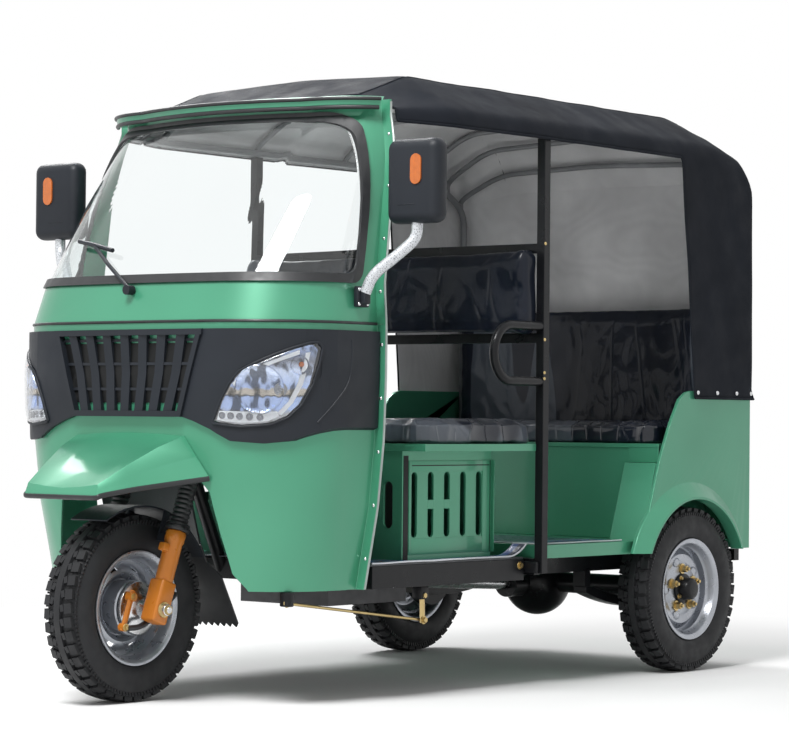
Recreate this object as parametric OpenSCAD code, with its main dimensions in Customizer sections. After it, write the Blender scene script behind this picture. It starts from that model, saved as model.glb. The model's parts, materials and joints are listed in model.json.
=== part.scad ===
// Three-wheeled passenger rickshaw: raked front fork, pressed cab, canvas hood, rear bench.
// Millimetres. Faces -Y, up is +Z, origin under the middle of the bounding box.
// Stations named *_s are distances behind the front axle.

/* [Overall] */
// length over front tyre and rear bumper
overall_l = 2700; // [2670:1:2740]
// distance between front and rear axles
wheelbase = 2021; // [2005:1:2040]
// distance between the rear wheel centres
track = 1154; // [1140:1:1164]
// width over the rear side panels
body_w = 1250; // [1240:1:1270]
// air gap left between neighbouring pieces
gap = 0.3; // [0.2:0.05:0.5]
// pressed panel thickness
panel_t = 8; // [6:0.5:9]

/* [Wheels] */
// tyre diameter over the tread blocks
tyre_d = 545; // [535:1:555]
// tyre section width
tyre_w = 125; // [115:1:130]
// tread width across the shoulders
tread_w = 104; // [96:1:108]
// rim flange diameter
rim_d = 334; // [324:1:344]
// wheel disc thickness
disc_t = 8; // [6:0.5:10]
// front brake drum radius
drum_r = 80; // [70:1:88]
// front axle radius
axle_r = 10; // [8:0.5:12]
// rear spindle radius
spindle_r = 16; // [13:0.5:20]

/* [Fork] */
// rake of the fork legs from vertical, degrees
rake = 20; // [18:0.5:22]
// half distance between fork legs
fork_x = 130; // [124:1:136]
// steering axis behind the legs
fork_offset = 42; // [38:1:46]
// fork slider radius
slider_r = 30; // [27:0.5:32]
// fork slider length above the axle
slider_l = 235; // [225:1:250]
// upper fork tube radius
tube_r = 20; // [17:0.5:22]
// gaiter radius
gaiter_r = 27; // [25:0.5:29]
// gaiter length
gaiter_l = 185; // [170:1:200]
// steering stem radius
stem_r = 16; // [13:0.5:18]
// height of the grips above the top yoke along the rake
bar_rise = 95; // [85:1:105]
// half width over the handlebar grips
bar_x = 330; // [300:1:360]
// handlebar tube radius
bar_r = 11; // [9:0.5:13]
// inner mudguard half width
guard_x = 72; // [66:1:76]

/* [Cab] */
// cab width at the waist
cab_w = 1160; // [1150:1:1176]
// station of the nose centre at the waist
nose_s = 6; // [0:1:12]
// height of the cab lower edge
sill_z = 330; // [325:1:335]
// height of the waist groove
waist_z = 1100; // [1090:1:1110]
// height of the cowl under the windscreen
cowl_z = 1211; // [1205:1:1220]
// height of the windscreen top
screen_z = 1715; // [1705:1:1725]
// width of the flange on the cab rear edge
flange_w = 30; // [24:1:36]
// half width of the wheel opening at its foot
arch_x = 385; // [370:1:395]
// height of the wheel opening
arch_z = 700; // [690:1:715]
// fascia thickness over the nose
fascia_t = 14; // [10:0.5:18]
// half width of the grille along its top
grille_x = 297; // [280:1:310]
// height of the grille lower edge
grille_z = 826; // [815:1:836]
// number of upright grille slats
grille_n = 7; // [5:1:11]
// width of one grille slat
slat_w = 26; // [18:1:30]
// nose fender front station
fender_s = -262; // [-268:1:-250]
// cab floor top height
floor_z = 402; // [400:1:408]

/* [Seats and body] */
// station of the partition pillars
pillar_s = 1223; // [1215:1:1232]
// pillar tube size
pillar_w = 30; // [26:1:34]
// half distance between pillar centres
pillar_x = 600; // [596:1:602]
// seat box half width
seat_box_x = 500; // [485:1:505]
// height of both seat cushions
seat_z = 815; // [805:1:825]
// cushion thickness
cushion_t = 62; // [55:1:68]
// height of the driver backrest top
back_top_z = 1362; // [1350:1:1375]
// grab handle tube radius
handle_r = 14; // [11:0.5:16]
// height of the bench backrest top
bench_top_z = 1232; // [1200:1:1260]
// top of the rear floor
rear_floor_z = 438; // [430:1:444]
// top of the rear side panels
side_z = 928; // [915:1:940]
// flare width outside the side panels
flare_w = 35; // [28:1:40]

/* [Hood] */
// crown height of the canvas hood
hood_z = 1881; // [1870:1:1890]
// height of the hood side edge
hood_edge_z = 1700; // [1692:1:1708]
// canvas thickness with its lining
canvas_t = 7.5; // [6:0.5:9]
// hood frame tube radius
hoop_r = 11; // [9:0.5:12]

/* [Mirrors] */
// distance from the middle to a mirror head
mirror_x = 729; // [715:1:740]
// mirror head width
mirror_w = 155; // [140:1:165]
// mirror head height
mirror_h = 244; // [230:1:255]

/* [Hidden] */
$fn = 48;
axle_z = tyre_d / 2;
front_y = -overall_l / 2 + tyre_d / 2;
rear_end_s = overall_l - tyre_d / 2;
wheel_x = track / 2;
seat_r = rim_d / 2 - 14;
bead_a = tyre_w / 2 - 13;
flange_t = 6;
tail_s = rear_end_s - 37.5;
tail_t = 12;
skirt_z = 398;
pan_z = seat_z - cushion_t - gap;
pan_lo_z = pan_z - 22;
rail_r = hoop_r + 1;
hood_back_s = tail_s + gap + canvas_t;
rail_w = 40;
rail_h = 60;
rail_top = floor_z - 6;
rail_x = wheel_x - 147;
rail_end_s = tail_s - 20;
rail_s = 480;
cab_floor_s = rail_s - 32;
sill_in_x = cab_w / 2 - 65;
sill_out_x = cab_w / 2 - 20;
strut_r = 20;
drum_in_x = wheel_x - 118;
guard_r = tyre_d / 2 + 20;
guard_t = 5;
guard_end = 62;
spring_span = 350;
axle_tube_r = 35;
spring_eye_z = axle_z + 14;
seat_box_s = 660;
seat_box_back_s = pillar_s - 127;
engine_s = seat_box_s + panel_t + 32;
engine_back_s = seat_box_back_s - panel_t - 8;
engine_x = 180;
engine_lo_z = rail_top - rail_h - 84;
engine_hi_z = pan_lo_z - 91;
drum_out_x = wheel_x - 77;
box_x = wheel_x - tyre_w / 2 - 28.5;
arch_r = tyre_d / 2 + 24.5;
side_in_x = body_w / 2 - 12;
wheel_box_s = 268;
wheel_box_z = 690;
bench_s = wheelbase - 159;
bench_x = side_in_x - 8;
bench_back_s = tail_s - 99;
hood_post_s = tail_s - 28;
hood_post_in = 27;
front_hoop_s = 755;
corner_sag = 1.2;
head_lo = slider_l + gaiter_l + 50;
head_hi = head_lo + 160;
yoke_lo = slider_l + gaiter_l + 2 * gap;
yoke_hi = head_hi + 10;
yoke_top = yoke_hi + 28;
mirror_z = 1508;
mirror_s = 435;
slope_z = 1466;
diff_r = 115;
drum_face_r = 104;
pinion_l = 180;
green = "#2fb58c";
black = "#26282b";
steel = "#c9ccce";
canvas = "#20242d";

// cab plan by height: height, nose set back, crown, narrowing, corner radius, rear edge
cab_sections = [
  [sill_z, 56, 12, 56, 262, 420],
  [420, 46, 12, 42, 266, 424],
  [570, 24, 12, 18, 276, 430],
  [765, 6, 12, 3, 284, 436],
  [950, 0, 12, 0, 286, 440],
  [waist_z, 0, 12, 0, 286, 440],
  [cowl_z, 33, 14, 15, 280, 448],
  [slope_z, 184, 38, 18, 255, 480],
  [screen_z, 359, 60, 20, 230, 525],
];
slope_rows = [for (k = [1:4]) slope_z + (screen_z - slope_z) * k / 4];
screen_rows = concat(steps(cowl_z, slope_z, 4), slope_rows);
front_n = 4;
corner_n = 9;

function cab_at(z, col) = lookup(z, [for (r = cab_sections) [r[0], r[col]]]);
function cab_half_w(z, d) = cab_w / 2 - cab_at(z, 3) + d;
function cab_corner(z, d) = cab_at(z, 4) + d;
function cab_nose(z, d) = nose_s + cab_at(z, 1) - d;
function cab_centre_x(z) = cab_half_w(z, 0) - cab_corner(z, 0);
function cab_centre_s(z) = cab_nose(z, 0) + cab_at(z, 2) + cab_corner(z, 0);
// station of the cab surface at a given x and height, moved out by d
function cab_front(x, z, d) =
  let (xc = cab_centre_x(z), r = cab_corner(z, d), u = abs(x))
  u <= xc ? cab_nose(z, d) + cab_at(z, 2) * pow(u / xc, 2)
          : cab_centre_s(z) - sqrt(max(0, r * r - pow(u - xc, 2)));
function corner_end(z, d, rear) =
  let (c = (cab_centre_s(z) - rear) / cab_corner(z, d))
  c > 0 ? acos(min(1, c)) : 90;
function cab_side(z, d, back, flange) =
  let (
    rear = cab_at(z, 5) + back,
    xc = cab_centre_x(z),
    r = cab_corner(z, d),
    top = corner_end(z, d, rear),
    reach = top < 90 ? top * corner_n / (corner_n + 1) : 90,
    end_x = xc + r * sin(top)
  )
  concat(
    [for (k = [1:front_n]) [xc * k / front_n, cab_nose(z, d) + cab_at(z, 2) * pow(k / front_n, 2), z]],
    [for (k = [1:corner_n]) let (a = reach * k / corner_n)
      [xc + r * sin(a), cab_centre_s(z) - r * cos(a), z]],
    [[end_x, rear, z]],
    flange > 0 ? [[xc + cab_corner(z, 0) * sin(corner_end(z, 0, cab_at(z, 5))) + flange, rear, z]] : []
  );
// height of the next cab section above a given one
function cab_next(z) = min([for (r = cab_sections) if (r[0] > z) r[0]]);
function mirrored(l) = [for (k = [len(l) - 1:-1:0]) [-l[k][0], l[k][1], l[k][2]]];
function cab_row(z, d, back = 0, flange = 0) =
  let (half = cab_side(z, d, back, flange))
  concat(mirrored(half), [[0, cab_nose(z, d), z]], half);
function joined(l) = [for (x = l) each x];
function steps(a, b, n) = [for (k = [0:n]) a + (b - a) * k / n];

// closed thick sheet between two equal grids of points
module sheet(outer, inner) {
  m = len(outer);
  n = len(outer[0]);
  q = m * n;
  faces = [
    for (i = [0:m - 2], j = [0:n - 2]) let (a = i * n + j) each [
      [a, a + n, a + n + 1], [a, a + n + 1, a + 1],
      [q + a, q + a + n + 1, q + a + n], [q + a, q + a + 1, q + a + n + 1],
    ],
    for (j = [0:n - 2]) let (b = (m - 1) * n + j) each [
      [j, j + 1, q + j + 1], [j, q + j + 1, q + j],
      [b + 1, b, q + b], [b + 1, q + b, q + b + 1],
    ],
    for (i = [0:m - 2]) let (l = i * n, r = i * n + n - 1) each [
      [l + n, l, q + l], [l + n, q + l, q + l + n],
      [r, r + n, q + r + n], [r, q + r + n, q + r],
    ],
  ];
  polyhedron(concat(joined(outer), joined(inner)), faces);
}

// closed body through rings of points set one behind the other
module loft(rings) {
  n = len(rings[0]);
  m = len(rings);
  faces = concat(
    [[for (j = [0:n - 1]) j]],
    [[for (j = [n - 1:-1:0]) (m - 1) * n + j]],
    [for (i = [0:m - 2], j = [0:n - 1]) let (a = i * n + j, b = i * n + (j + 1) % n) each [
      [b, a, a + n], [b, a + n, b + n],
    ]]
  );
  polyhedron(joined(rings), faces);
}

module cab_skin(zs, inner, outer) {
  sheet([for (z = zs) cab_row(z, outer, -4)], [for (z = zs) cab_row(z, inner, -4)]);
}

module at_front() { translate([0, front_y, 0]) children(); }

// extrudes a side view drawn in station and height
module along_x(x0, x1) { translate([x0, 0, 0]) rotate([90, 0, 90]) linear_extrude(x1 - x0) children(); }

// extrudes a front view drawn in x and height
module along_y(s0, s1) { translate([0, s1, 0]) rotate([90, 0, 0]) linear_extrude(s1 - s0) children(); }

module box(lo, hi) { translate(lo) cube(hi - lo); }

module both_sides() {
  children();
  mirror([1, 0, 0]) children();
}

module rod(p, q, r) {
  v = q - p;
  translate(p) rotate([0, acos(v[2] / norm(v)), atan2(v[1], v[0])]) cylinder(h = norm(v), r = r);
}

// run of eight-sided tube through a list of points
module tube_run(pts, r) {
  for (i = [0:len(pts) - 2]) let (v = pts[i + 1] - pts[i], e = v * (r / 3 / norm(v)), w = v + 2 * e)
    translate(pts[i] - e) rotate([0, acos(w[2] / norm(w)), atan2(w[1], w[0])])
      cylinder(h = norm(w), r = r, $fn = 8);
}

module x_disc(x0, x1, r) { translate([x0, 0, 0]) rotate([0, 90, 0]) cylinder(h = x1 - x0, r = r); }

module rounded(w, h, r) {
  square([w - 2 * r, h], center = true);
  square([w, h - 2 * r], center = true);
  for (x = [-1, 1], y = [-1, 1]) translate([x * (w / 2 - r), y * (h / 2 - r)]) circle(r);
}

module slot(w, h) {
  square([w, h - w], center = true);
  for (y = [-1, 1]) translate([0, y * (h - w) / 2]) circle(w / 2);
}

module raked() { translate([0, 0, axle_z]) rotate([-rake, 0, 0]) children(); }

module wheel_at(x, s) { at_front() translate([x, s, axle_z]) children(); }

// wheels

module tyre_section() {
  shoulder_r = 14;
  difference() {
    union() {
      translate([tyre_d / 2 - tyre_w / 2, 0]) circle(tyre_w / 2);
      translate([seat_r, -bead_a]) square([60, 2 * bead_a]);
      translate([tyre_d / 2 - 22, 0]) rounded(44, tread_w, shoulder_r);
    }
    translate([seat_r - 40, -tyre_w]) square([40, 2 * tyre_w]);
    for (e = [-1, 1]) translate([seat_r - 20, e > 0 ? bead_a : -bead_a - tyre_w])
      square([rim_d / 2 + 1 - seat_r + 20, tyre_w]);
  }
}

module tyre() { rotate([0, 90, 0]) rotate_extrude() tyre_section(); }

module rim_ring() {
  rotate([0, 90, 0]) rotate_extrude() {
    translate([seat_r - 12, -bead_a - gap - flange_t]) square([12 - gap, 2 * (bead_a + gap + flange_t)]);
    for (e = [-1, 1]) translate([seat_r - 12, e > 0 ? bead_a + gap : -bead_a - gap - flange_t])
      square([rim_d / 2 - seat_r + 12, flange_t]);
  }
}

module front_tyre() { color(black) wheel_at(0, 0) tyre(); }

module front_rim() {
  color(steel) wheel_at(0, 0) difference() {
    union() {
      rim_ring();
      x_disc(-24, -24 + disc_t, seat_r - 6);
      x_disc(-24, 44, drum_r);
      x_disc(-fork_x + slider_r + 4, -20, 34);
    }
    x_disc(-200, 200, axle_r + gap);
  }
}

// side is 1 for left and -1 for right
module rear_wheel_pose(side) { wheel_at(side * wheel_x, wheelbase) scale([side, 1, 1]) children(); }

module rear_tyre(side) { color(black) rear_wheel_pose(side) tyre(); }

module rear_rim(side) {
  color(steel) rear_wheel_pose(side) {
    rim_ring();
    x_disc(12, 12 + disc_t, seat_r - 6);
    x_disc(drum_out_x - wheel_x + 7, 40, 52);
    x_disc(20, 66, 38);
    x_disc(drum_in_x - wheel_x + 10, 20, spindle_r);
  }
}

module rear_left_tyre() { rear_tyre(1); }
module rear_right_tyre() { rear_tyre(-1); }
module rear_left_rim() { rear_rim(1); }
module rear_right_rim() { rear_rim(-1); }

// fork and steering

module fork_sliders() {
  color("#e07a2b") at_front() raked() both_sides() difference() {
    union() {
      translate([fork_x, 0, -38]) cylinder(h = slider_l + 38, r = slider_r);
      translate([fork_x - 26, -30, -38]) cube([52, 60, 70]);
    }
    translate([fork_x, 0, slider_l - 60]) cylinder(h = 61, r = tube_r + gap);
    x_disc(0, fork_x + 60, axle_r + gap);
  }
}

module fork_gaiters() {
  folds = 9;
  collar = 26;
  pitch = (gaiter_l - collar) / folds;
  bore = tube_r + gap;
  color(black) at_front() raked() both_sides() translate([fork_x, 0, slider_l + gap]) rotate_extrude()
    polygon(concat(
      [[bore, 0], [slider_r + 6, 0], [slider_r + 6, collar]],
      [for (k = [0:folds - 1], e = [0, 1]) [gaiter_r - 4 + 4 * e, collar + (k + e / 2) * pitch]],
      [[gaiter_r - 4, gaiter_l], [bore, gaiter_l]]
    ));
}

module yoke_plate(z, t) {
  for (e = [-1, 1]) translate([e * fork_x, 0, z]) cylinder(h = t, r = tube_r + 12);
  translate([-fork_x, -20, z]) cube([2 * fork_x, 44, t]);
  translate([0, fork_offset, z]) cylinder(h = t, r = stem_r + 16);
  translate([-stem_r - 16, 0, z]) cube([2 * stem_r + 32, fork_offset, t]);
}

module fork_yoke() {
  tube_lo = slider_l - 58;
  color(black) at_front() raked() {
    for (e = [-1, 1]) translate([e * fork_x, 0, tube_lo]) cylinder(h = yoke_top - tube_lo, r = tube_r);
    yoke_plate(yoke_lo, head_lo - 10 - yoke_lo);
    yoke_plate(yoke_hi, yoke_top - yoke_hi);
    translate([0, fork_offset, yoke_lo + 10]) cylinder(h = yoke_hi - yoke_lo, r = stem_r);
  }
}

module front_axle() {
  nut_t = 16;
  nut_x = fork_x + slider_r + gap + nut_t / 2;
  color(steel) at_front() translate([0, 0, axle_z]) {
    x_disc(-nut_x - nut_t, nut_x + nut_t, axle_r);
    for (e = [-1, 1]) x_disc(e * nut_x - nut_t / 2, e * nut_x + nut_t / 2, 17);
  }
}

module front_brake_plate() {
  color(steel) at_front() translate([0, 0, axle_z]) difference() {
    union() {
      x_disc(50, 62, drum_r - 2);
      x_disc(61, fork_x - slider_r - gap, 30);
    }
    x_disc(0, 200, axle_r + gap);
  }
}

module front_mudguard() {
  strap = 6;
  foot = slider_l - 32;
  color(black) at_front() {
    translate([0, 0, axle_z]) along_x(-guard_x, guard_x) intersection() {
      difference() {
        circle(guard_r + guard_t);
        circle(guard_r);
      }
      polygon([[0, 0], [-400 * tan(30), 400], [0, 500], [600, 600], [600, 600 / tan(guard_end)]]);
    }
    raked() both_sides() {
      translate([guard_x - 2, -12, foot]) cube([strap, 24, guard_r + 3 - foot]);
      translate([guard_x - 2, -12, foot]) cube([fork_x - slider_r - gap - guard_x + 2, 24, 24]);
    }
  }
}

module mud_flap() {
  flap_l = 228;
  flap_x = 110;
  flap_t = 6;
  teeth = 9;
  tooth = 2 * flap_x / teeth;
  half = [[guard_x, -40], [guard_x, 20], [flap_x, 70]];
  color(black) at_front() translate([0, 0, axle_z]) rotate([-guard_end, 0, 0])
    translate([0, 0, guard_r + guard_t + gap]) linear_extrude(flap_t) polygon(concat(
      half,
      [for (k = [2 * teeth:-1:0]) [-flap_x + k * tooth / 2, flap_l + (k % 2 == 0 ? 0 : 14)]],
      [for (k = [2:-1:0]) [-half[k][0], half[k][1]]]
    ));
}

module handlebar() {
  post_s = 22;
  post_z = yoke_top + gap;
  top = post_z + bar_rise;
  tip = [bar_x, post_s + 98, top];
  color(black) at_front() raked() {
    for (e = [-1, 1]) translate([e * 55, post_s, post_z]) cylinder(h = bar_rise - 30, r = bar_r);
    translate([-70, post_s - 22, top - 40]) cube([140, 60, 40]);
    both_sides() {
      tube_run([[0, post_s, top - 30], [110, post_s, top - 30], [180, post_s + 28, top - 10], tip], bar_r);
      rod(tip - [105, 35, 5], tip, bar_r + 5);
    }
  }
}

// frame and running gear

module chassis_frame() {
  lo = rail_top - rail_h;
  color(black) at_front() {
    both_sides() {
      box([rail_x - rail_w / 2, rail_s, lo], [rail_x + rail_w / 2, rail_end_s, rail_top]);
      for (s = [rail_s + 10, pillar_s - 73]) box([rail_x, s, lo], [sill_in_x - gap, s + 36, rail_top]);
      box([rail_x, pillar_s - 15, lo + 10], [pillar_x - pillar_w / 2 - gap, pillar_s + 15, rail_top]);
      for (s = [-spring_span - 5, spring_span - 25])
        box([rail_x - 24, wheelbase + s, spring_eye_z + gap], [rail_x + 24, wheelbase + s + 30, lo + 5]);
    }
    for (s = [rail_s, pillar_s - 40, wheelbase - 300, rail_end_s - 45])
      box([-rail_x, s, lo], [rail_x, s + rail_w, rail_top]);
    difference() {
      union() {
        raked() translate([0, fork_offset, head_lo]) cylinder(h = head_hi - head_lo, r = stem_r + 12);
        both_sides() rod([70, rail_s + 15, rail_top - 30], [20, 250, 775], strut_r);
      }
      raked() translate([0, fork_offset, head_lo - 50]) cylinder(h = 300, r = stem_r + gap);
    }
  }
}

// half section of the axle casing: radius across, axle line upwards
module axle_section() {
  difference() {
    union() {
      translate([0, -drum_out_x]) square([axle_tube_r, 2 * drum_out_x]);
      for (e = [-1, 1]) translate([0, e > 0 ? drum_in_x : -drum_out_x])
        square([drum_face_r, drum_out_x - drum_in_x]);
      intersection() {
        circle(diff_r);
        translate([0, -diff_r]) square([diff_r, 2 * diff_r]);
      }
    }
    for (e = [-1, 1]) translate([-1, e > 0 ? drum_in_x - 10 : -drum_out_x - 1])
      square([spindle_r + gap + 1, drum_out_x - drum_in_x + 11]);
  }
}

module rear_axle() {
  color(black) at_front() translate([0, wheelbase, axle_z]) {
    rotate([0, 90, 0]) rotate_extrude() axle_section();
    translate([0, -pinion_l, 0]) rotate([-90, 0, 0]) cylinder(h = pinion_l, r = 48);
  }
}

module leaf_springs() {
  sag = 62;
  leaf_t = 30;
  leaf_r = (spring_span * spring_span + sag * sag) / (2 * sag);
  low = axle_z - axle_tube_r - gap;
  color(black) at_front() translate([0, wheelbase, 0]) both_sides() {
    along_x(rail_x - 25, rail_x + 25) intersection() {
      translate([0, low + leaf_r]) difference() {
        circle(leaf_r + leaf_t);
        circle(leaf_r);
      }
      translate([-spring_span, 0]) square([2 * spring_span, spring_eye_z]);
    }
  }
}

module drive_shaft() {
  color(steel) at_front() rod(
    [0, engine_back_s + 5 * gap, axle_z + 40],
    [0, wheelbase - pinion_l - 5 * gap, axle_z],
    22
  );
}

module engine() {
  mount_x = rail_x - rail_w / 2 - gap;
  mount_s = engine_s + 170;
  color("#8a8d8f") at_front() {
    box([-engine_x, engine_s, engine_lo_z], [engine_x, engine_back_s, engine_hi_z]);
    box([-mount_x, mount_s, rail_top - 50], [mount_x, mount_s + 40, rail_top - 10]);
  }
}

module exhaust() {
  pipe_r = 19;
  port_s = engine_back_s - 40;
  port_z = engine_lo_z + 48;
  can_s = pillar_s + 37;
  can_end_s = wheelbase - 331;
  can = [-engine_x - 120, can_s, engine_lo_z + 30];
  color("#5c5f61") at_front() {
    tube_run([
      [-engine_x - gap - pipe_r / 3, port_s, port_z], [-engine_x - 52, port_s, port_z],
      can - [0, 130, -2], can + [0, 2, 0],
    ], pipe_r);
    translate(can) rotate([-90, 0, 0]) cylinder(h = can_end_s - can_s, r = 50);
    translate(can) rotate([-90, 0, 0]) cylinder(h = can_end_s - can_s + 100, r = pipe_r - 2);
  }
}

// cab

module arch_prism() {
  half = [
    [arch_x + 30, 200], [arch_x, sill_z + 5], [arch_x - 37, 380], [arch_x - 88, arch_z - 90],
    [arch_x - 130, arch_z - 45], [arch_x - 235, arch_z],
  ];
  along_y(-200, 260) polygon(concat(half, [for (k = [len(half) - 1:-1:0]) [-half[k][0], half[k][1]]]));
}

// pressed cab panel through the given heights, with its rear flange
module cab_panel(zs) {
  outer = [for (z = zs) cab_row(z, 0, 0, flange_w)];
  inner = [for (z = zs) cab_row(z, -panel_t, panel_t, flange_w)];
  sheet(outer, inner);
}

module nose_shell() {
  knots = [for (r = cab_sections) if (r[0] < waist_z) r[0]];
  zs = concat(joined([for (k = knots) [k, (k + cab_next(k)) / 2]]), [waist_z]);
  color(green) at_front() difference() {
    cab_panel(zs);
    arch_prism();
  }
}

// windscreen opening seen from the side, its rear edges a post's width ahead of the cab's rear edge
module screen_prism(grow) {
  corner = 46;
  post = 76;
  low = cowl_z + 16;
  along_x(-cab_w, cab_w) hull()
    for (p = [[cab_at(cowl_z, 5), low + corner - grow], [cab_at(screen_z, 5), screen_z - corner + grow]])
      for (s = [-200, p[0] - post - corner + grow]) translate([s, p[1]]) circle(corner, $fn = 32);
}

module cab_upper() {
  top_z = screen_z + 48;
  zs = concat([waist_z + gap, (waist_z + cowl_z) / 2], screen_rows, [top_z]);
  lip = steps(screen_z + 22, top_z, 2);
  color(green) at_front() {
    difference() {
      cab_panel(zs);
      screen_prism(0);
    }
    sheet([for (z = lip) cab_row(z, 24 + (z - screen_z) / 4, -30)], [for (z = lip) cab_row(z, -2, -30)]);
    loft([for (k = [0:1]) let (row = mirrored(cab_row(top_z, -k * 30, k * 30)))
      [for (p = row) [p[0], p[1], top_z - 4 + k * 18]]]);
  }
}

module windscreen_glass() {
  color("#9fb4b8") at_front() intersection() {
    cab_skin(concat(screen_rows, [screen_z + 20]), -7, -2);
    screen_prism(-gap);
  }
}

module windscreen_seal() {
  color(black) at_front() intersection() {
    cab_skin(concat(screen_rows, [screen_z + 20]), gap + 0.5, 9);
    difference() {
      screen_prism(12);
      screen_prism(-14);
    }
  }
}

module lamp_outline(grow) {
  hull() {
    translate([556, 1010]) circle(20 + grow, $fn = 24);
    translate([551, 950]) circle(24 + grow, $fn = 24);
    translate([355, 826]) circle(20 + grow, $fn = 24);
    translate([440, 826]) circle(24 + grow, $fn = 24);
    translate([430, 950]) circle(20 + grow, $fn = 24);
  }
}

module fascia_outline() {
  top = waist_z - 22;
  difference() {
    polygon([
      [grille_x + 2 * gap, top], [700, top], [700, grille_z - 20], [590, grille_z - 26], [526, grille_z - 65],
      [469, grille_z - 73], [385, grille_z - 67], [320, grille_z - 34], [grille_x - 35, grille_z - 12],
      [grille_x - 78 + 2 * gap, grille_z],
    ]);
    lamp_outline(0);
  }
}

module headlamp_fascias() {
  color(black) at_front() both_sides() intersection() {
    cab_skin([745, 765, 857, 950, 1025, waist_z], gap, fascia_t);
    along_y(-100, 470) fascia_outline();
  }
}

module headlamps() {
  color("#dfe6e8") at_front() both_sides() intersection() {
    cab_skin([780, 857, 950, 1060], gap, fascia_t + 6);
    along_y(-100, 300) lamp_outline(-gap);
  }
}

module grille_outline(inset) {
  polygon([
    [inset - grille_x, waist_z - 22 - inset], [grille_x - inset, waist_z - 22 - inset],
    [grille_x - 78 - inset, grille_z + inset], [78 + inset - grille_x, grille_z + inset],
  ]);
}

module grille() {
  rows = 3;
  row_h = 10;
  low_x = grille_x - 78;
  high = waist_z - 22 - grille_z;
  color(black) at_front() intersection() {
    cab_skin([grille_z - 20, 950, waist_z], gap, fascia_t + 8);
    along_y(-100, 200) {
      difference() {
        grille_outline(0);
        grille_outline(14);
      }
      intersection() {
        grille_outline(4);
        union() {
          for (k = [1:grille_n]) let (u = 2 * k / (grille_n + 1) - 1)
            polygon([
              [u * low_x - slat_w / 2, grille_z], [u * low_x + slat_w / 2, grille_z],
              [u * grille_x + slat_w / 2, grille_z + high], [u * grille_x - slat_w / 2, grille_z + high],
            ]);
          for (k = [1:rows]) translate([-grille_x, grille_z + high * k / (rows + 1) - row_h / 2])
            square([2 * grille_x, row_h]);
        }
      }
    }
  }
}

// nose fender sections: share of length, low x, low z, crest x, crest z, middle z
fender_sections = [
  [0, 146, 600, 132, 602, 598],
  [0.03, 150, 606, 140, 634, 622],
  [0.35, 178, 624, 166, 688, 672],
  [0.7, 216, 640, 194, 740, 730],
  [1, 258, 655, 217, 772, 781],
];
function fender_row(r, drop) =
  let (half = [
    [r[3] * 0.5, (r[4] + 2 * r[5]) / 3], [r[3], r[4]],
    [(r[1] + r[3]) / 2 - drop / 2, (r[2] + r[4]) / 2], [r[1] - drop, r[2]],
  ])
  concat([for (k = [3:-1:0]) [-half[k][0], half[k][1]]], [[0, r[5]]], half);
function fender_pts(r, drop) = [for (p = fender_row(r, drop))
  let (z = p[1] - (abs(p[0]) > r[3] + 2 ? 0 : drop), back = cab_front(p[0], z, 3 * gap))
  [p[0], fender_s + (back - fender_s) * r[0] + (r[0] == 0 ? drop : 0), z]];

module nose_fender() {
  color(green) at_front() sheet(
    [for (r = fender_sections) fender_pts(r, 0)],
    [for (r = fender_sections) fender_pts(r, 6)]
  );
}

module wiper() {
  d = 22;
  path = [[-10, 1200], [-140, 1275], [-250, 1338]];
  blade = [[-330, 1352], [-240, 1336], [-150, 1318]];
  color(black) at_front() {
    tube_run([for (p = path) [p[0], cab_front(p[0], p[1], d), p[1]]], 6);
    tube_run([for (p = blade) [p[0], cab_front(p[0], p[1], d), p[1]]], 7);
    translate([-10, cab_front(0, 1180, gap), 1194]) rotate([90, 0, 0]) cylinder(h = 26, r = 14);
  }
}

module mirrors() {
  foot_z = waist_z + 45;
  foot_s = mirror_s - 100;
  wall = cab_half_w(foot_z, 0) + gap;
  arm_r = 17;
  head_t = 70;
  color(black) at_front() both_sides() {
    box([wall, foot_s, foot_z], [wall + 14, foot_s + 53, foot_z + 60]);
    tube_run([
      [wall + arm_r + 2, foot_s + 25, foot_z + 35], [wall + 30, foot_s + 31, foot_z + 95],
      [mirror_x - 40, mirror_s - 30, foot_z + 160], [mirror_x, mirror_s, foot_z + 205],
      [mirror_x, mirror_s, mirror_z - mirror_h / 2 + 20],
    ], arm_r);
    translate([mirror_x, 0, mirror_z]) along_y(mirror_s - head_t / 2, mirror_s + head_t / 2)
      rounded(mirror_w, mirror_h, 40);
  }
}

module dashboard() {
  shelf_t = 28;
  z = waist_z + 68;
  row = cab_row(z, -panel_t - gap - corner_sag, -150);
  color(black) at_front() translate([0, 0, z - shelf_t]) linear_extrude(shelf_t)
    polygon([for (p = row) [p[0], p[1]]]);
}

module cab_floor() {
  low = rail_top + gap;
  floor_x = cab_w / 2 - 24;
  toe_x = cab_w / 2 - 90;
  toe_z = floor_z + 238;
  color("#3a3d40") at_front() difference() {
    union() {
      box([-floor_x, cab_floor_s, low], [floor_x, pillar_s - 33, floor_z]);
      along_x(-toe_x, toe_x) polygon([
        [cab_floor_s, low], [cab_floor_s + panel_t, low],
        [cab_floor_s - 76 + panel_t, toe_z], [cab_floor_s - 76, toe_z],
      ]);
    }
    box([-engine_x - 20, engine_s - 15, low - 1], [engine_x + 20, engine_back_s + 25, floor_z + 1]);
    box([-110, cab_floor_s - 150, low - 1], [110, rail_s + 2 * strut_r, toe_z + 60]);
  }
}

module side_sills() {
  color(black) at_front() both_sides()
    box([sill_in_x, cab_floor_s + 4, sill_z], [sill_out_x, pillar_s - 33, rail_top]);
}

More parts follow.
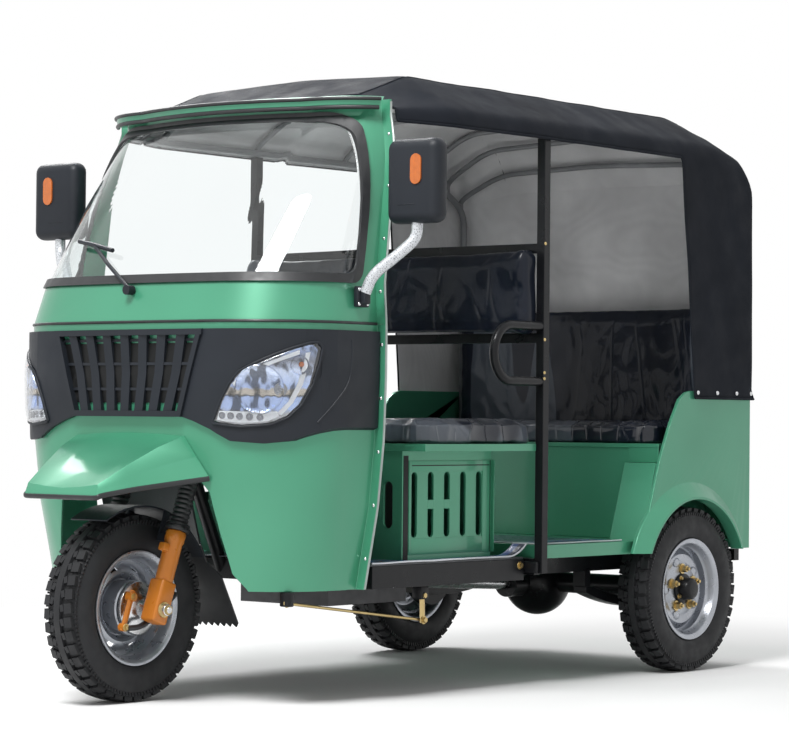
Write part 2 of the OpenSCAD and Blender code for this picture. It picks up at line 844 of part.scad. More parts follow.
module seat_box() {
  front = seat_box_s;
  back = seat_box_back_s;
  wall = panel_t;
  mid = (floor_z + pan_z) / 2 - 8;
  vent_n = 5;
  vent_gap = (back - front - 120) / (vent_n - 1);
  color(green) at_front() {
    difference() {
      box([-seat_box_x, front, floor_z + gap], [seat_box_x, back, pan_lo_z]);
      box([wall - seat_box_x, front + wall, floor_z - 10], [seat_box_x - wall, back - wall, pan_z]);
      for (k = [0:vent_n - 1]) translate([0, front + 58 + k * vent_gap, mid])
        along_x(-seat_box_x - 1, seat_box_x + 1) slot(28, 196);
      for (e = [-1, 1], x = [seat_box_x - 54, seat_box_x - 200]) translate([e * x, 0, mid])
        along_y(front - 1, front + wall + 1) slot(34, 140);
    }
    box([5 - pillar_x, front - 10, pan_lo_z], [pillar_x - 5, pillar_s - 23, pan_z]);
  }
}

module driver_cushion() {
  front = seat_box_s - 5;
  back = pillar_s - 28;
  color(black) at_front() translate([0, (front + back) / 2, pan_z + gap]) linear_extrude(cushion_t)
    rounded(2 * pillar_x - 20, back - front, 40);
}

module driver_backrest() {
  low = back_top_z - 277;
  color(black) at_front() translate([0, 0, (low + back_top_z) / 2])
    along_y(pillar_s - 75, pillar_s - pillar_w / 2 - gap)
      rounded(2 * pillar_x - 70, back_top_z - low, 30);
}

module partition_frame() {
  h = pillar_w / 2;
  foot_z = rail_top - 44;
  color(black) at_front() {
    for (e = [-1, 1])
      box([e * pillar_x - h, pillar_s - h, foot_z], [e * pillar_x + h, pillar_s + h, hood_edge_z + 2]);
    for (z = [back_top_z - 295, back_top_z - 17])
      box([-pillar_x, pillar_s - h, z], [pillar_x, pillar_s + h, z + pillar_w]);
  }
}

module grab_handles() {
  back = pillar_s - pillar_w / 2 - gap;
  bend_r = 86;
  reach = 148;
  mid_z = seat_z + 217;
  color(black) at_front() for (e = [-1, 1]) translate([e * pillar_x, back, mid_z]) {
    for (k = [-1, 1]) translate([0, 0, k * bend_r]) rotate([90, 0, 0]) cylinder(h = reach, r = handle_r);
    translate([0, -reach, 0]) rotate([0, 90, 0]) rotate([0, 0, 180]) rotate_extrude(angle = 180)
      translate([bend_r, 0]) circle(handle_r);
  }
}

// rear body

module rear_floor() {
  low = rail_top + gap;
  neck_s = wheelbase - wheel_box_s;
  color("#3a3d40") at_front() {
    box([-pillar_x, pillar_s + 19, low], [pillar_x, neck_s - gap, rear_floor_z]);
    box([1 - box_x, neck_s - 2, low], [box_x - 1, tail_s - tail_t - 1, rear_floor_z]);
  }
}

module side_view() {
  polygon([
    [-284, skirt_z + 7], [-178, side_z - 228], [-118, side_z - 108], [-66, side_z - 28],
    [-30, side_z - 6], [0, side_z],
    [tail_s - wheelbase, side_z], [tail_s - wheelbase, skirt_z], [-270, skirt_z],
  ]);
}

module wheel_box_view(t) {
  low = rear_floor_z - 10 - 2 * t;
  top = wheel_box_z - t;
  polygon([[t - wheel_box_s, low], [t - wheel_box_s + 88, top], [300 - t, top], [300 - t, low]]);
}

module rear_side() {
  out = body_w / 2;
  color(green) at_front() translate([0, wheelbase, 0]) {
    difference() {
      along_x(side_in_x, out) side_view();
      translate([0, 0, axle_z]) x_disc(500, 700, arch_r);
    }
    intersection() {
      translate([0, 0, axle_z]) rotate([0, 90, 0]) rotate_extrude() polygon([
        [arch_r, side_in_x], [arch_r, out + flare_w], [arch_r + 8, out + flare_w],
        [arch_r + 56, out], [arch_r + 56, side_in_x],
      ]);
      box([500, -arch_r - 63, skirt_z], [800, tail_s - wheelbase, 800]);
    }
    along_x(box_x, side_in_x) difference() {
      wheel_box_view(0);
      wheel_box_view(panel_t);
    }
    along_x(box_x, box_x + panel_t) wheel_box_view(0);
  }
}

module rear_side_left() { rear_side(); }
module rear_side_right() { mirror([1, 0, 0]) rear_side(); }

module tail_panel() {
  hole_r = 3.5;
  color(green) at_front() difference() {
    box([gap - side_in_x, tail_s - tail_t, skirt_z], [side_in_x - gap, tail_s, side_z]);
    for (e = [-1, 1]) translate([e * 70, tail_s - 20, skirt_z + 162]) rotate([-90, 0, 0])
      cylinder(h = 40, r = hole_r);
  }
}

module tail_lamps() {
  lamp_x = body_w / 2 - 125;
  lamp_z = side_z - 238;
  color("#a3221f") at_front() for (e = [-1, 1]) translate([e * lamp_x, 0, lamp_z])
    along_y(tail_s + gap, tail_s + 22) rounded(110, 170, 20);
}

module rear_bumper() {
  eye_r = 13;
  tongue_t = 12;
  tongue_top = rail_top - rail_h - gap;
  tongue_x = 45;
  bar_x = body_w / 2 - 65;
  bar_s = tail_s + 8;
  low = skirt_z - 46;
  color(black) at_front() difference() {
    union() {
      box([-bar_x, bar_s, low], [bar_x, rear_end_s, low + 40]);
      for (e = [-1, 1]) translate([e * rail_x, 0, low])
        box([-rail_w / 2, rail_end_s + gap, -6], [rail_w / 2, bar_s + 2, 34]);
      box([-tongue_x, tail_s - 60, tongue_top - tongue_t], [tongue_x, bar_s + 12, tongue_top]);
      box([-tongue_x, bar_s, tongue_top - tongue_t], [tongue_x, rear_end_s, low + 8]);
    }
    translate([0, tail_s - 28, tongue_top - tongue_t - 1]) cylinder(h = tongue_t + 2, r = eye_r);
  }
}

module rear_seat_base() {
  color(green) at_front() {
    box([1 - box_x, bench_s + 8, rear_floor_z + gap], [box_x - 1, bench_s + 16, pan_z - 6]);
    box([-bench_x, bench_s, pan_z - 14], [bench_x, tail_s - tail_t - 1, pan_z]);
  }
}

module rear_cushion() {
  front = bench_s - 17;
  back = bench_back_s - 4;
  color(black) at_front() translate([0, (front + back) / 2, pan_z + gap]) linear_extrude(cushion_t)
    rounded(2 * bench_x - 14, back - front, 45);
}

module rear_backrest() {
  low = pan_z + gap;
  color(black) at_front() translate([0, 0, (low + bench_top_z) / 2]) along_y(bench_back_s, tail_s - 18)
    rounded(2 * bench_x - 66, bench_top_z - low, 40);
}

// hood

// hood outline by station: station, drop of crown, crease inset, drop of crease,
// edge inset, edge rise, low inset, low rise; insets from the body side, rises from the hood side edge
hood_sections = [
  [555, 90, 225, 92, 79, 40, 69, 2],
  [front_hoop_s, 1, 207, 15, 19, 50, 11, 0],
  [pillar_s, 0, 201, 16, 7, 52, -2, 0],
  [hood_back_s - 250, 1, 201, 20, 5, 50, -5, -2],
  [hood_back_s - 150, 19, 201, 36, 5, 38, -6, -10],
  [hood_back_s - 80, 59, 201, 74, 5, 12, -7, -20],
  [hood_back_s - 30, 126, 201, 136, 5, -28, -8, -50],
  [hood_back_s, 226, 201, 231, 5, -90, -9, -110],
];
hood_low_z = side_z - 23;
function hood_at(s, col) = lookup(s, [for (r = hood_sections) [r[0], r[col]]]);
function hood_x(inset) = body_w / 2 - inset;
// half ring of the hood at a section, moved in by t
function hood_half(r, t) = [
  [hood_x(r[2]) - 0.4 * t, hood_z - r[3] - t],
  [hood_x(r[4]) - t, hood_edge_z + r[5] - 0.6 * t],
  [hood_x(r[6]) - t, hood_edge_z + r[7]],
  [hood_x(-3 * gap - canvas_t) - t, hood_low_z - 6 * t],
];
function hood_ring(r, t, s) =
  let (h = hood_half(r, t), low = [for (k = [3:-1:0]) [-h[k][0], h[k][1]]])
  [for (p = concat([[0, hood_z - r[1] - t]], h, low)) [p[0], s, p[1]]];

module canopy() {
  last = len(hood_sections) - 1;
  // how far the lining lies ahead of the outer canvas at each section
  ahead = [for (k = [0:last]) k == 0 ? 20 : k == last ? canvas_t : k > 3 ? 3 : 0];
  door_z = hood_edge_z + 2;
  color(canvas) at_front() difference() {
    loft([for (r = hood_sections) hood_ring(r, 0, r[0])]);
    loft([for (k = [0:last]) hood_ring(hood_sections[k], canvas_t, hood_sections[k][0] - ahead[k])]);
    along_x(-body_w, body_w) polygon([
      [300, 700], [300, door_z], [wheelbase - 66, door_z], [wheelbase - 49, door_z - 22],
      [wheelbase + 15, side_z + 4], [wheelbase + 19, 700],
    ]);
  }
}

rail_pts = [
  [cab_half_w(screen_z, 0) - 27, cab_at(screen_z, 5) + panel_t + gap + 0.6 * rail_r, hood_edge_z + 14],
  [hood_x(37), front_hoop_s, hood_edge_z + 14],
  [hood_x(hood_post_in), pillar_s, hood_edge_z + 16],
  [hood_x(hood_post_in), tail_s - 240, hood_edge_z + 12],
  [hood_x(hood_post_in), hood_post_s, hood_edge_z - 110],
];
function rail_pt(s) = [for (c = [0, 1, 2]) lookup(s, [for (p = rail_pts) [p[1], p[c]]])];

module hoop(s, drop) {
  e = [hood_x(hood_at(s, 4)) - canvas_t - hoop_r - 1.5, s, hood_edge_z + hood_at(s, 5) - drop + 2];
  c = [hood_x(hood_at(s, 2)) - 10, s, hood_z - hood_at(s, 3) - drop - 1];
  m = [0, s, hood_z - hood_at(s, 1) - drop];
  both_sides() tube_run([rail_pt(s), e, c, m], hoop_r);
}

module canopy_frame() {
  seat_in = canvas_t + hoop_r + gap + 0.5;
  back_hoop_s = tail_s - 250;
  foot = [hood_x(hood_post_in), hood_post_s, pan_z + gap + rail_r / 3];
  color(black) at_front() {
    both_sides() tube_run(concat(rail_pts, [foot]), rail_r);
    hoop(front_hoop_s, seat_in + 3);
    for (s = [pillar_s, (pillar_s + back_hoop_s) / 2, back_hoop_s]) hoop(s, seat_in);
    hoop(tail_s - 128, seat_in + 26);
    hoop(tail_s - 47, seat_in + 46);
  }
}

chassis_frame();
nose_shell();
cab_upper();
windscreen_seal();
windscreen_glass();
grille();
headlamp_fascias();
headlamps();
nose_fender();
mirrors();
wiper();
dashboard();
cab_floor();
side_sills();
seat_box();
driver_cushion();
driver_backrest();
partition_frame();
grab_handles();
rear_floor();
rear_side_left();
rear_side_right();
tail_panel();
tail_lamps();
rear_seat_base();
rear_cushion();
rear_backrest();
canopy();
canopy_frame();
rear_axle();
leaf_springs();
engine();
exhaust();
drive_shaft();
rear_bumper();
fork_yoke();
fork_sliders();
fork_gaiters();
front_axle();
front_brake_plate();
front_mudguard();
mud_flap();
handlebar();
front_rim();
front_tyre();
rear_left_rim();
rear_left_tyre();
rear_right_rim();
rear_right_tyre();
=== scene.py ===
"""Looks of a three-wheeled passenger rickshaw: paint, canvas, vinyl and fittings round its CAD frame."""

import json
from math import asin, cos, pi, radians, sin

import bmesh
import bpy
from mathutils import Matrix, Vector, noise
from mathutils.geometry import convex_hull_2d

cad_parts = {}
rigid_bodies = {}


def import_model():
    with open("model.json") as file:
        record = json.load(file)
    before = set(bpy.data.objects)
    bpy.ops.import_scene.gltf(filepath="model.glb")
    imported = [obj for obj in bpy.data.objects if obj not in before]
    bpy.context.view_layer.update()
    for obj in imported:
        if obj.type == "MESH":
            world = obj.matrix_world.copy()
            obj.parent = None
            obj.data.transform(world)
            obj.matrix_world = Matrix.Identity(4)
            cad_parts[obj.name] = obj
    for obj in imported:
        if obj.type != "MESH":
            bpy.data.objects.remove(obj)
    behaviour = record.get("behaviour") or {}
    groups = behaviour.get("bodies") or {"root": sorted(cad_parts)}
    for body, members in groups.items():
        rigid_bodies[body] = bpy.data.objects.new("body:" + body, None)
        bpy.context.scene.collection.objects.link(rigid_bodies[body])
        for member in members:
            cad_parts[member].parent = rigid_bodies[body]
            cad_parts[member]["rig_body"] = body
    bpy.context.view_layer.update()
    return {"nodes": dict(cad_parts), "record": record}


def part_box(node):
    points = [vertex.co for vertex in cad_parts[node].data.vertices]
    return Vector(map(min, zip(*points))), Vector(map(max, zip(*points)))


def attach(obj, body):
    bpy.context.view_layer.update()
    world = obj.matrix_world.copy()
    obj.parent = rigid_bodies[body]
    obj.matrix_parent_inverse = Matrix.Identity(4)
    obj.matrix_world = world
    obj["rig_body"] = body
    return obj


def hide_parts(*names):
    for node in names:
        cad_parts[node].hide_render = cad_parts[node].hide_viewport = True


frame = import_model()
nodes = frame["nodes"]
scene = bpy.context.scene

# the front axle is the origin of every station s, measured towards the rear
front_hub = sum(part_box("front_tyre"), Vector()) / 2
rear_hub = sum(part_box("rear_left_tyre"), Vector()) / 2
TYRE_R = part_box("front_tyre")[1].z / 2
RAKE = radians(20)
MM = 0.001


def at(x, s, z):
    """A point from its distance off the middle, its station behind the front axle and its height."""
    return Vector((x, front_hub.y + s, z))


def mm(table):
    """Pairs written in millimetres, as points in metres."""
    return [tuple(float(value) / 1000 for value in pair.split()) for pair in table.split(",")]


# finishes


class Finish:
    """A material whose colour, roughness and bump come from textures on Object coordinates."""

    def __init__(self, name, colour, roughness, **sockets):
        self.material = bpy.data.materials.new(name)
        self.material.use_nodes = True
        tree = self.material.node_tree
        self.nodes, self.links = tree.nodes, tree.links
        self.shader = tree.nodes["Principled BSDF"]
        self.coords = self.nodes.new("ShaderNodeTexCoord").outputs["Object"]
        self.set("Base Color", (*colour, 1))
        self.set("Roughness", roughness)
        for socket, value in sockets.items():
            self.set(socket.replace("_", " ").title().replace("Ior", "IOR"), value)

    def set(self, socket, value):
        self.shader.inputs[socket].default_value = value

    def node(self, kind, **inputs):
        made = self.nodes.new(kind)
        for socket, value in inputs.items():
            made.inputs[socket.replace("_", " ")].default_value = value
        return made

    def stretched(self, scale):
        mapping = self.node("ShaderNodeMapping", Scale=scale)
        self.links.new(self.coords, mapping.inputs["Vector"])
        return mapping.outputs["Vector"]

    def noise(self, scale, detail=3.0, roughness=0.5, stretch=None):
        tex = self.node("ShaderNodeTexNoise", Scale=scale, Detail=detail, Roughness=roughness)
        self.links.new(self.stretched(stretch) if stretch else self.coords, tex.inputs["Vector"])
        return tex.outputs["Fac"]

    def cells(self, scale, feature="F1", stretch=None):
        tex = self.node("ShaderNodeTexVoronoi", Scale=scale)
        tex.feature = feature
        self.links.new(self.stretched(stretch) if stretch else self.coords, tex.inputs["Vector"])
        return tex.outputs["Distance"]

    def bands(self, scale, direction, distortion=0.0):
        tex = self.node("ShaderNodeTexWave", Scale=scale, Distortion=distortion)
        tex.bands_direction = direction
        self.links.new(self.coords, tex.inputs["Vector"])
        return tex.outputs["Fac"]

    def ramp(self, fac, *stops):
        made = self.node("ShaderNodeValToRGB")
        ends = made.color_ramp.elements
        while len(ends) < len(stops):
            ends.new(0.5)
        for end, (place, colour) in zip(ends, stops):
            end.position = place
            end.color = (*colour, 1) if hasattr(colour, "__len__") else (colour, colour, colour, 1)
        self.links.new(fac, made.inputs["Fac"])
        return made.outputs["Color"]

    def sum(self, a, b, share):
        made = self.node("ShaderNodeMath")
        made.operation = "MULTIPLY_ADD"
        self.links.new(b, made.inputs[0])
        made.inputs[1].default_value = share
        self.links.new(a, made.inputs[2])
        return made.outputs["Value"]

    def colour(self, fac, *stops):
        self.links.new(self.ramp(fac, *stops), self.shader.inputs["Base Color"])
        return self

    def rough(self, fac, low, high):
        made = self.node("ShaderNodeMapRange", From_Min=0.3, From_Max=0.7, To_Min=low, To_Max=high)
        self.links.new(fac, made.inputs["Value"])
        self.links.new(made.outputs["Result"], self.shader.inputs["Roughness"])
        return self

    def bump(self, height, distance, strength=1.0, socket="Normal"):
        made = self.node("ShaderNodeBump", Strength=strength, Distance=distance)
        self.links.new(height, made.inputs["Height"])
        self.links.new(made.outputs["Normal"], self.shader.inputs[socket])
        return self


def tinted(colour, factor):
    return tuple(min(1.0, c * factor) for c in colour)


def mint_paint():
    mint = (0.056, 0.280, 0.164)
    f = Finish("mint_paint", mint, 0.36, metallic=0.25, coat_weight=0.42, coat_roughness=0.09)
    tone = f.sum(f.noise(1.7, 2), f.noise(1500, 1), 0.35)
    f.colour(tone, (0.35, tinted(mint, 0.84)), (0.6, mint), (0.9, tinted(mint, 1.16)))
    f.rough(f.noise(9, 4), 0.32, 0.42)
    return f.bump(f.noise(190, 2), 0.0005, 0.12).material


def moulded_plastic(name, colour):
    f = Finish(name, colour, 0.5, specular_ior_level=0.3)
    f.colour(f.noise(3, 3), (0.35, tinted(colour, 0.85)), (0.7, tinted(colour, 1.2)))
    f.rough(f.noise(14, 4), 0.42, 0.58)
    return f.bump(f.sum(f.cells(900), f.noise(420, 2), 0.5), 0.0004, 0.25).material


def enamel(name, colour, roughness=0.3, gloss=0.4):
    """Brushed or dipped paint on steel, with runs of dust."""
    f = Finish(name, colour, roughness, specular_ior_level=gloss, coat_weight=gloss / 2, coat_roughness=0.15)
    f.colour(f.noise(6, 5), (0.3, tinted(colour, 0.8)), (0.62, colour), (0.85, tinted(colour, 1.5)))
    f.rough(f.noise(22, 4), roughness - 0.06, roughness + 0.14)
    return f.bump(f.noise(240, 3), 0.0005, 0.15).material


def rolled_metal(name, colour, roughness, metallic=1.0):
    f = Finish(name, colour, roughness, metallic=metallic)
    f.colour(f.noise(12, 4), (0.3, tinted(colour, 0.82)), (0.7, colour))
    f.rough(f.noise(40, 4), roughness - 0.07, roughness + 0.12)
    return f.bump(f.noise(300, 3), 0.0004, 0.12).material


def tyre_rubber():
    black = (0.011, 0.0115, 0.013)
    f = Finish("tyre_rubber", black, 0.62, specular_ior_level=0.35)
    f.colour(f.noise(5, 5), (0.3, tinted(black, 0.8)), (0.75, tinted(black, 1.5)))
    f.rough(f.noise(30, 4), 0.5, 0.72)
    return f.bump(f.noise(500, 3), 0.0005, 0.2).material


def soft_rubber(name, colour):
    f = Finish(name, colour, 0.42)
    f.colour(f.noise(8, 3), (0.3, tinted(colour, 0.8)), (0.7, tinted(colour, 1.25)))
    f.rough(f.noise(35, 3), 0.34, 0.52)
    return f.bump(f.noise(420, 2), 0.0003, 0.2).material


def woven_cloth(name, colour, roughness):
    """Coated cloth: a fine cross weave under long soft creases."""
    f = Finish(name, colour, roughness, specular_ior_level=0.1)
    weave = f.sum(f.sum(f.bands(330, "X"), f.bands(330, "Y"), 1.0), f.bands(330, "Z"), 1.0)
    tone = f.sum(f.noise(3.5, 4), weave, 0.05)
    f.colour(tone, (0.35, tinted(colour, 0.8)), (0.6, colour), (0.9, tinted(colour, 1.3)))
    f.rough(f.noise(12, 4), roughness - 0.06, roughness + 0.12)
    return f.bump(f.sum(f.noise(16, 4), weave, 0.06), 0.004, 0.3).material


def wrapped_vinyl(name, painted_highlight_spread, film, crease_scale):
    """Navy seat vinyl under clear film, with pale patches where the film lies loose, partly the film's own
    milky tone and partly painted highlight, and long sharp creases.
    """
    navy = (0.0065, 0.0095, 0.018)
    pale_film_and_painted_highlight = (0.085, 0.100, 0.125)
    f = Finish(name, navy, 0.42, specular_ior_level=0.15, coat_weight=film, coat_roughness=0.06)
    loose = f.noise(2.1, 1.2, 0.4, (2.3, 1.0, 0.42))
    # painted highlight: pale patches in the base colour stand for light caught on the loose film, partly the
    # film's own milky tone
    edge = 0.66 - painted_highlight_spread
    f.colour(loose, (0.35, tinted(navy, 0.8)), (edge - 0.008, tinted(navy, 1.3)), (edge, pale_film_and_painted_highlight),
             (edge + 0.15, tinted(pale_film_and_painted_highlight, 0.7)))
    f.rough(f.noise(18, 4), 0.32, 0.46)
    f.bump(f.cells(420), 0.0004, 0.2)
    crease = f.ramp(f.cells(crease_scale, "DISTANCE_TO_EDGE", (1.5, 1.0, 0.55)), (0.0, 1.0), (0.05, 0.0))
    return f.bump(f.sum(f.noise(5, 2), crease, 0.22), 0.02, 0.4, "Coat Normal").material


def clear(name, tint):
    f = Finish(name, tint, 0.0, transmission_weight=1.0, ior=1.45)
    f.colour(f.noise(2, 2), (0.3, tinted(tint, 0.98)), (0.7, tint))
    return f.material


def chrome_painted_reflection():
    """Lamp reflector: a painted reflection of pale blue sky above and below a dark, warm horizon, set by
    height, with painted darker patches, broken up by small facets.
    """
    f = Finish("reflector_chrome", (0.5, 0.55, 0.65), 0.12, metallic=1.0)
    apart = f.node("ShaderNodeSeparateXYZ")
    f.links.new(f.coords, apart.inputs[0])
    level = f.node("ShaderNodeMapRange", From_Min=0.80, From_Max=1.05)
    f.links.new(apart.outputs["Z"], level.inputs["Value"])
    facet = f.cells(70)
    broken = f.sum(f.sum(level.outputs["Result"], f.noise(45, 2), 0.06), facet, 0.03)
    grey, sky, warm, dark = (0.40, 0.41, 0.42), (0.42, 0.52, 0.76), (0.50, 0.46, 0.40), (0.07, 0.075, 0.085)
    pale, dim = (0.66, 0.74, 0.9), (0.20, 0.21, 0.24)
    # painted reflection: the colour ramp paints sky, a dark warm horizon band and pale sky by height in the
    # lamp
    view = f.ramp(broken, (0.20, grey), (0.25, sky), (0.375, sky), (0.395, dark), (0.41, warm), (0.465, warm),
                  (0.49, sky), (0.68, pale), (0.80, dim), (0.95, sky))
    shade = f.node("ShaderNodeMixRGB", Fac=1.0)
    shade.blend_type = "MULTIPLY"
    f.links.new(view, shade.inputs["Color1"])
    # painted shade: darker patches multiplied into the painted reflection
    painted_dark_patches = f.ramp(f.noise(34, 1.5, 0.4, (1.0, 1.0, 0.6)), (0.40, 0.22), (0.47, 0.85), (0.6, 1.0))
    f.links.new(painted_dark_patches, shade.inputs["Color2"])
    f.links.new(shade.outputs["Color"], f.shader.inputs["Base Color"])
    f.rough(f.noise(40, 2), 0.08, 0.2)
    return f.bump(facet, 0.005, 0.4).material


def striped_mat():
    """Navy floor mat with a blue border, a red line and a pale one along its sides."""
    f = Finish("floor_mat", (0.012, 0.02, 0.05), 0.3, coat_weight=0.3)
    apart = f.node("ShaderNodeSeparateXYZ")
    f.links.new(f.coords, apart.inputs[0])
    side = f.node("ShaderNodeMath")
    side.operation = "ABSOLUTE"
    f.links.new(apart.outputs["X"], side.inputs[0])
    navy, blue = (0.010, 0.018, 0.045), (0.012, 0.07, 0.26)
    red, pale = (0.33, 0.02, 0.02), (0.7, 0.72, 0.74)
    stops = ((0.0, navy), (0.455, pale), (0.462, blue), (0.492, red), (0.5, blue), (0.53, navy))
    band = f.ramp(f.sum(side.outputs[0], f.noise(40, 2), 0.002), *stops)
    f.links.new(band, f.shader.inputs["Base Color"])
    band.node.color_ramp.interpolation = "CONSTANT"
    f.rough(f.noise(25, 3), 0.24, 0.4)
    return f.bump(f.cells(160), 0.001, 0.3).material


def moulded_lens(name, colour):
    """Coloured lamp plastic with fine upright flutes."""
    f = Finish(name, colour, 0.12, transmission_weight=0.35, coat_weight=0.6)
    f.colour(f.noise(60, 2), (0.3, tinted(colour, 0.8)), (0.7, colour))
    f.rough(f.noise(40, 2), 0.1, 0.2)
    return f.bump(f.bands(70, "X"), 0.001, 0.5).material


def net_sleeve():
    """Silvery protective net drawn over a tube."""
    pale = (0.38, 0.40, 0.42)
    f = Finish("net_sleeve", pale, 0.3, metallic=0.5)
    mesh = f.cells(170, "DISTANCE_TO_EDGE")
    f.colour(mesh, (0.05, (0.70, 0.72, 0.75)), (0.28, pale), (0.6, (0.10, 0.11, 0.12)))
    f.rough(f.noise(50, 3), 0.2, 0.4)
    return f.bump(mesh, 0.003, -0.9).material


finishes = {
    "body_green": mint_paint(),
    "black_plastic": moulded_plastic("moulded_black", (0.0125, 0.0155, 0.021)),
    "black_steel": enamel("black_enamel", (0.007, 0.0075, 0.009), 0.3, 0.2),
    "fork_orange": enamel("fork_orange", (0.62, 0.20, 0.02)),
    "silver_paint": rolled_metal("wheel_silver", (0.44, 0.46, 0.50), 0.3, 0.8),
    "bare_steel": rolled_metal("bright_steel", (0.72, 0.73, 0.74), 0.24),
    "tyre": tyre_rubber(),
    "seal_rubber": soft_rubber("seal_rubber", (0.016, 0.017, 0.019)),
    "canvas": woven_cloth("hood_canvas", (0.0125, 0.0148, 0.020), 0.68),
    "seat_vinyl": wrapped_vinyl("wrapped_vinyl", 0.05, 0.22, 4.5),
    "glass": clear("screen_glass", (0.93, 0.97, 0.97)),
    "lamp_lens": clear("lamp_lens", (0.97, 0.98, 1.0)),
    "lamp_red": moulded_lens("tail_red", (0.5, 0.02, 0.015)),
    "floor_grey": enamel("floor_grey", (0.06, 0.065, 0.07), 0.45),
    "cast_grey": rolled_metal("cast_alloy", (0.10, 0.10, 0.105), 0.5, 0.5),
    "exhaust_steel": rolled_metal("exhaust_steel", (0.2, 0.19, 0.18), 0.45),
}
lining = woven_cloth("hood_lining", (0.67, 0.665, 0.67), 0.8)
hoop_grey = enamel("hoop_grey", (0.22, 0.225, 0.235), 0.4)
amber = moulded_lens("amber_lens", (0.85, 0.2, 0.015))
gold_zinc = rolled_metal("gold_zinc", (0.62, 0.47, 0.22), 0.33)
mirror_glass = rolled_metal("mirror_glass", (0.9, 0.91, 0.92), 0.03)
chrome = chrome_painted_reflection()
# cushions: more of the pale painted highlight patches than the seat backs
loose_film_painted_highlight = wrapped_vinyl("loose_film_painted_highlight", 0.13, 0.75, 11)
mat_print = striped_mat()
mat_edge = moulded_plastic("mat_edge", (0.66, 0.68, 0.72))
edge_steel = rolled_metal("edge_steel", (0.36, 0.41, 0.39), 0.35, 0.8)
# near-black for painted shade behind the grille and in the seat box door gaps
painted_shade_black = moulded_plastic("painted_shade_black", (0.0022, 0.0026, 0.0028))
sleeve = net_sleeve()
lamp_white = moulded_plastic("lamp_white", (0.8, 0.82, 0.84))
lamp_grey = rolled_metal("lamp_grey", (0.30, 0.31, 0.33), 0.25)

slot_of = {part["node"]: part["material_slot"] for part in frame["record"]["subparts"]}
for name, slot_name in slot_of.items():
    nodes[name].data.materials.clear()
    nodes[name].data.materials.append(finishes[slot_name])


# making pieces


def piece(name, bm, body, finish, slot=None, replaces=(), sharp=38, more=()):
    """Closes a bmesh into an object that rides on a body; finish is a slot's name or a material."""
    bmesh.ops.remove_doubles(bm, verts=bm.verts, dist=1e-5)
    bmesh.ops.recalc_face_normals(bm, faces=bm.faces)
    return placed(name, bm, body, finish, replaces, sharp, more)


def placed(name, bm, body, finish, replaces=(), sharp=38, more=()):
    mesh = bpy.data.meshes.new(name)
    bm.to_mesh(mesh)
    bm.free()
    for material in (finish, *more):
        mesh.materials.append(finishes.get(material, material) if isinstance(material, str) else material)
    mesh.shade_smooth()
    mesh.set_sharp_from_angle(angle=radians(sharp))
    made = bpy.data.objects.new(name, mesh)
    scene.collection.objects.link(made)
    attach(made, body)
    if replaces:
        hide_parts(*replaces)
    return made


def body_of(node):
    return nodes[node]["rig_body"]


def rounded(made, radius, sharp):
    edge = made.modifiers.new("edge", "BEVEL")
    edge.width, edge.segments, edge.angle_limit = radius, 2, radians(sharp)
    edge.limit_method, edge.harden_normals = "ANGLE", True


def softened(node, radius=0.002, sharp=30, slot=None):
    """A CAD node with its doubles merged and its sharp edges rounded, standing in for the node."""
    bm = bmesh.new()
    bm.from_mesh(nodes[node].data)
    bmesh.ops.remove_doubles(bm, verts=bm.verts, dist=1e-5)
    bmesh.ops.dissolve_limit(bm, angle_limit=radians(0.5), verts=bm.verts, edges=bm.edges)
    made = placed(f"{node}_dressed", bm, body_of(node), slot or slot_of[node], replaces=[node], sharp=sharp)
    if radius:
        rounded(made, radius, sharp)
    return made


# stage, light and camera


def background_rays(tree):
    """1 for what the camera, gloss or glass sees, 0 for light that falls on the object."""
    path = tree.nodes.new("ShaderNodeLightPath")
    seen = path.outputs["Is Camera Ray"]
    for other in ("Is Transmission Ray", "Is Glossy Ray"):
        either = tree.nodes.new("ShaderNodeMath")
        either.operation = "MAXIMUM"
        tree.links.new(seen, either.inputs[0])
        tree.links.new(path.outputs[other], either.inputs[1])
        seen = either.outputs[0]
    return seen


FADE_FROM, FADE_TO, WORLD_LEVEL = 1.9, 3.6, 0.36


def studio_floor():
    """Pale floor that keeps the shadow near the object and fades to the white backdrop."""
    f = Finish("studio_floor", (0.93, 0.93, 0.93), 0.9)
    away = f.node("ShaderNodeVectorMath")
    away.operation = "LENGTH"
    f.links.new(f.coords, away.inputs[0])
    fade = f.node("ShaderNodeMapRange", From_Min=FADE_FROM, From_Max=FADE_TO)
    f.links.new(away.outputs["Value"], fade.inputs["Value"])
    share = f.node("ShaderNodeMath")
    share.operation = "MULTIPLY"
    f.links.new(fade.outputs["Result"], share.inputs[0])
    f.links.new(background_rays(f.material.node_tree), share.inputs[1])
    mix = f.node("ShaderNodeMixShader")
    f.links.new(share.outputs[0], mix.inputs["Fac"])
    f.links.new(f.shader.outputs[0], mix.inputs[1])
    f.links.new(f.node("ShaderNodeEmission").outputs[0], mix.inputs[2])
    f.links.new(mix.outputs[0], f.nodes["Material Output"].inputs["Surface"])
    return f.material


def plain_stage():
    bm = bmesh.new()
    bmesh.ops.create_grid(bm, x_segments=1, y_segments=1, size=40)
    mesh = bpy.data.meshes.new("floor")
    bm.to_mesh(mesh)
    bm.free()
    floor = bpy.data.objects.new("floor", mesh)
    scene.collection.objects.link(floor)
    mesh.materials.append(studio_floor())


def soft_light(name, place, aim, size, watts):
    lamp = bpy.data.lights.new(name, "AREA")
    lamp.shape = "DISK"
    lamp.size = size
    lamp.energy = watts
    made = bpy.data.objects.new(name, lamp)
    made.location = place
    made.rotation_euler = (Vector(aim) - Vector(place)).to_track_quat("-Z", "Y").to_euler()
    scene.collection.objects.link(made)


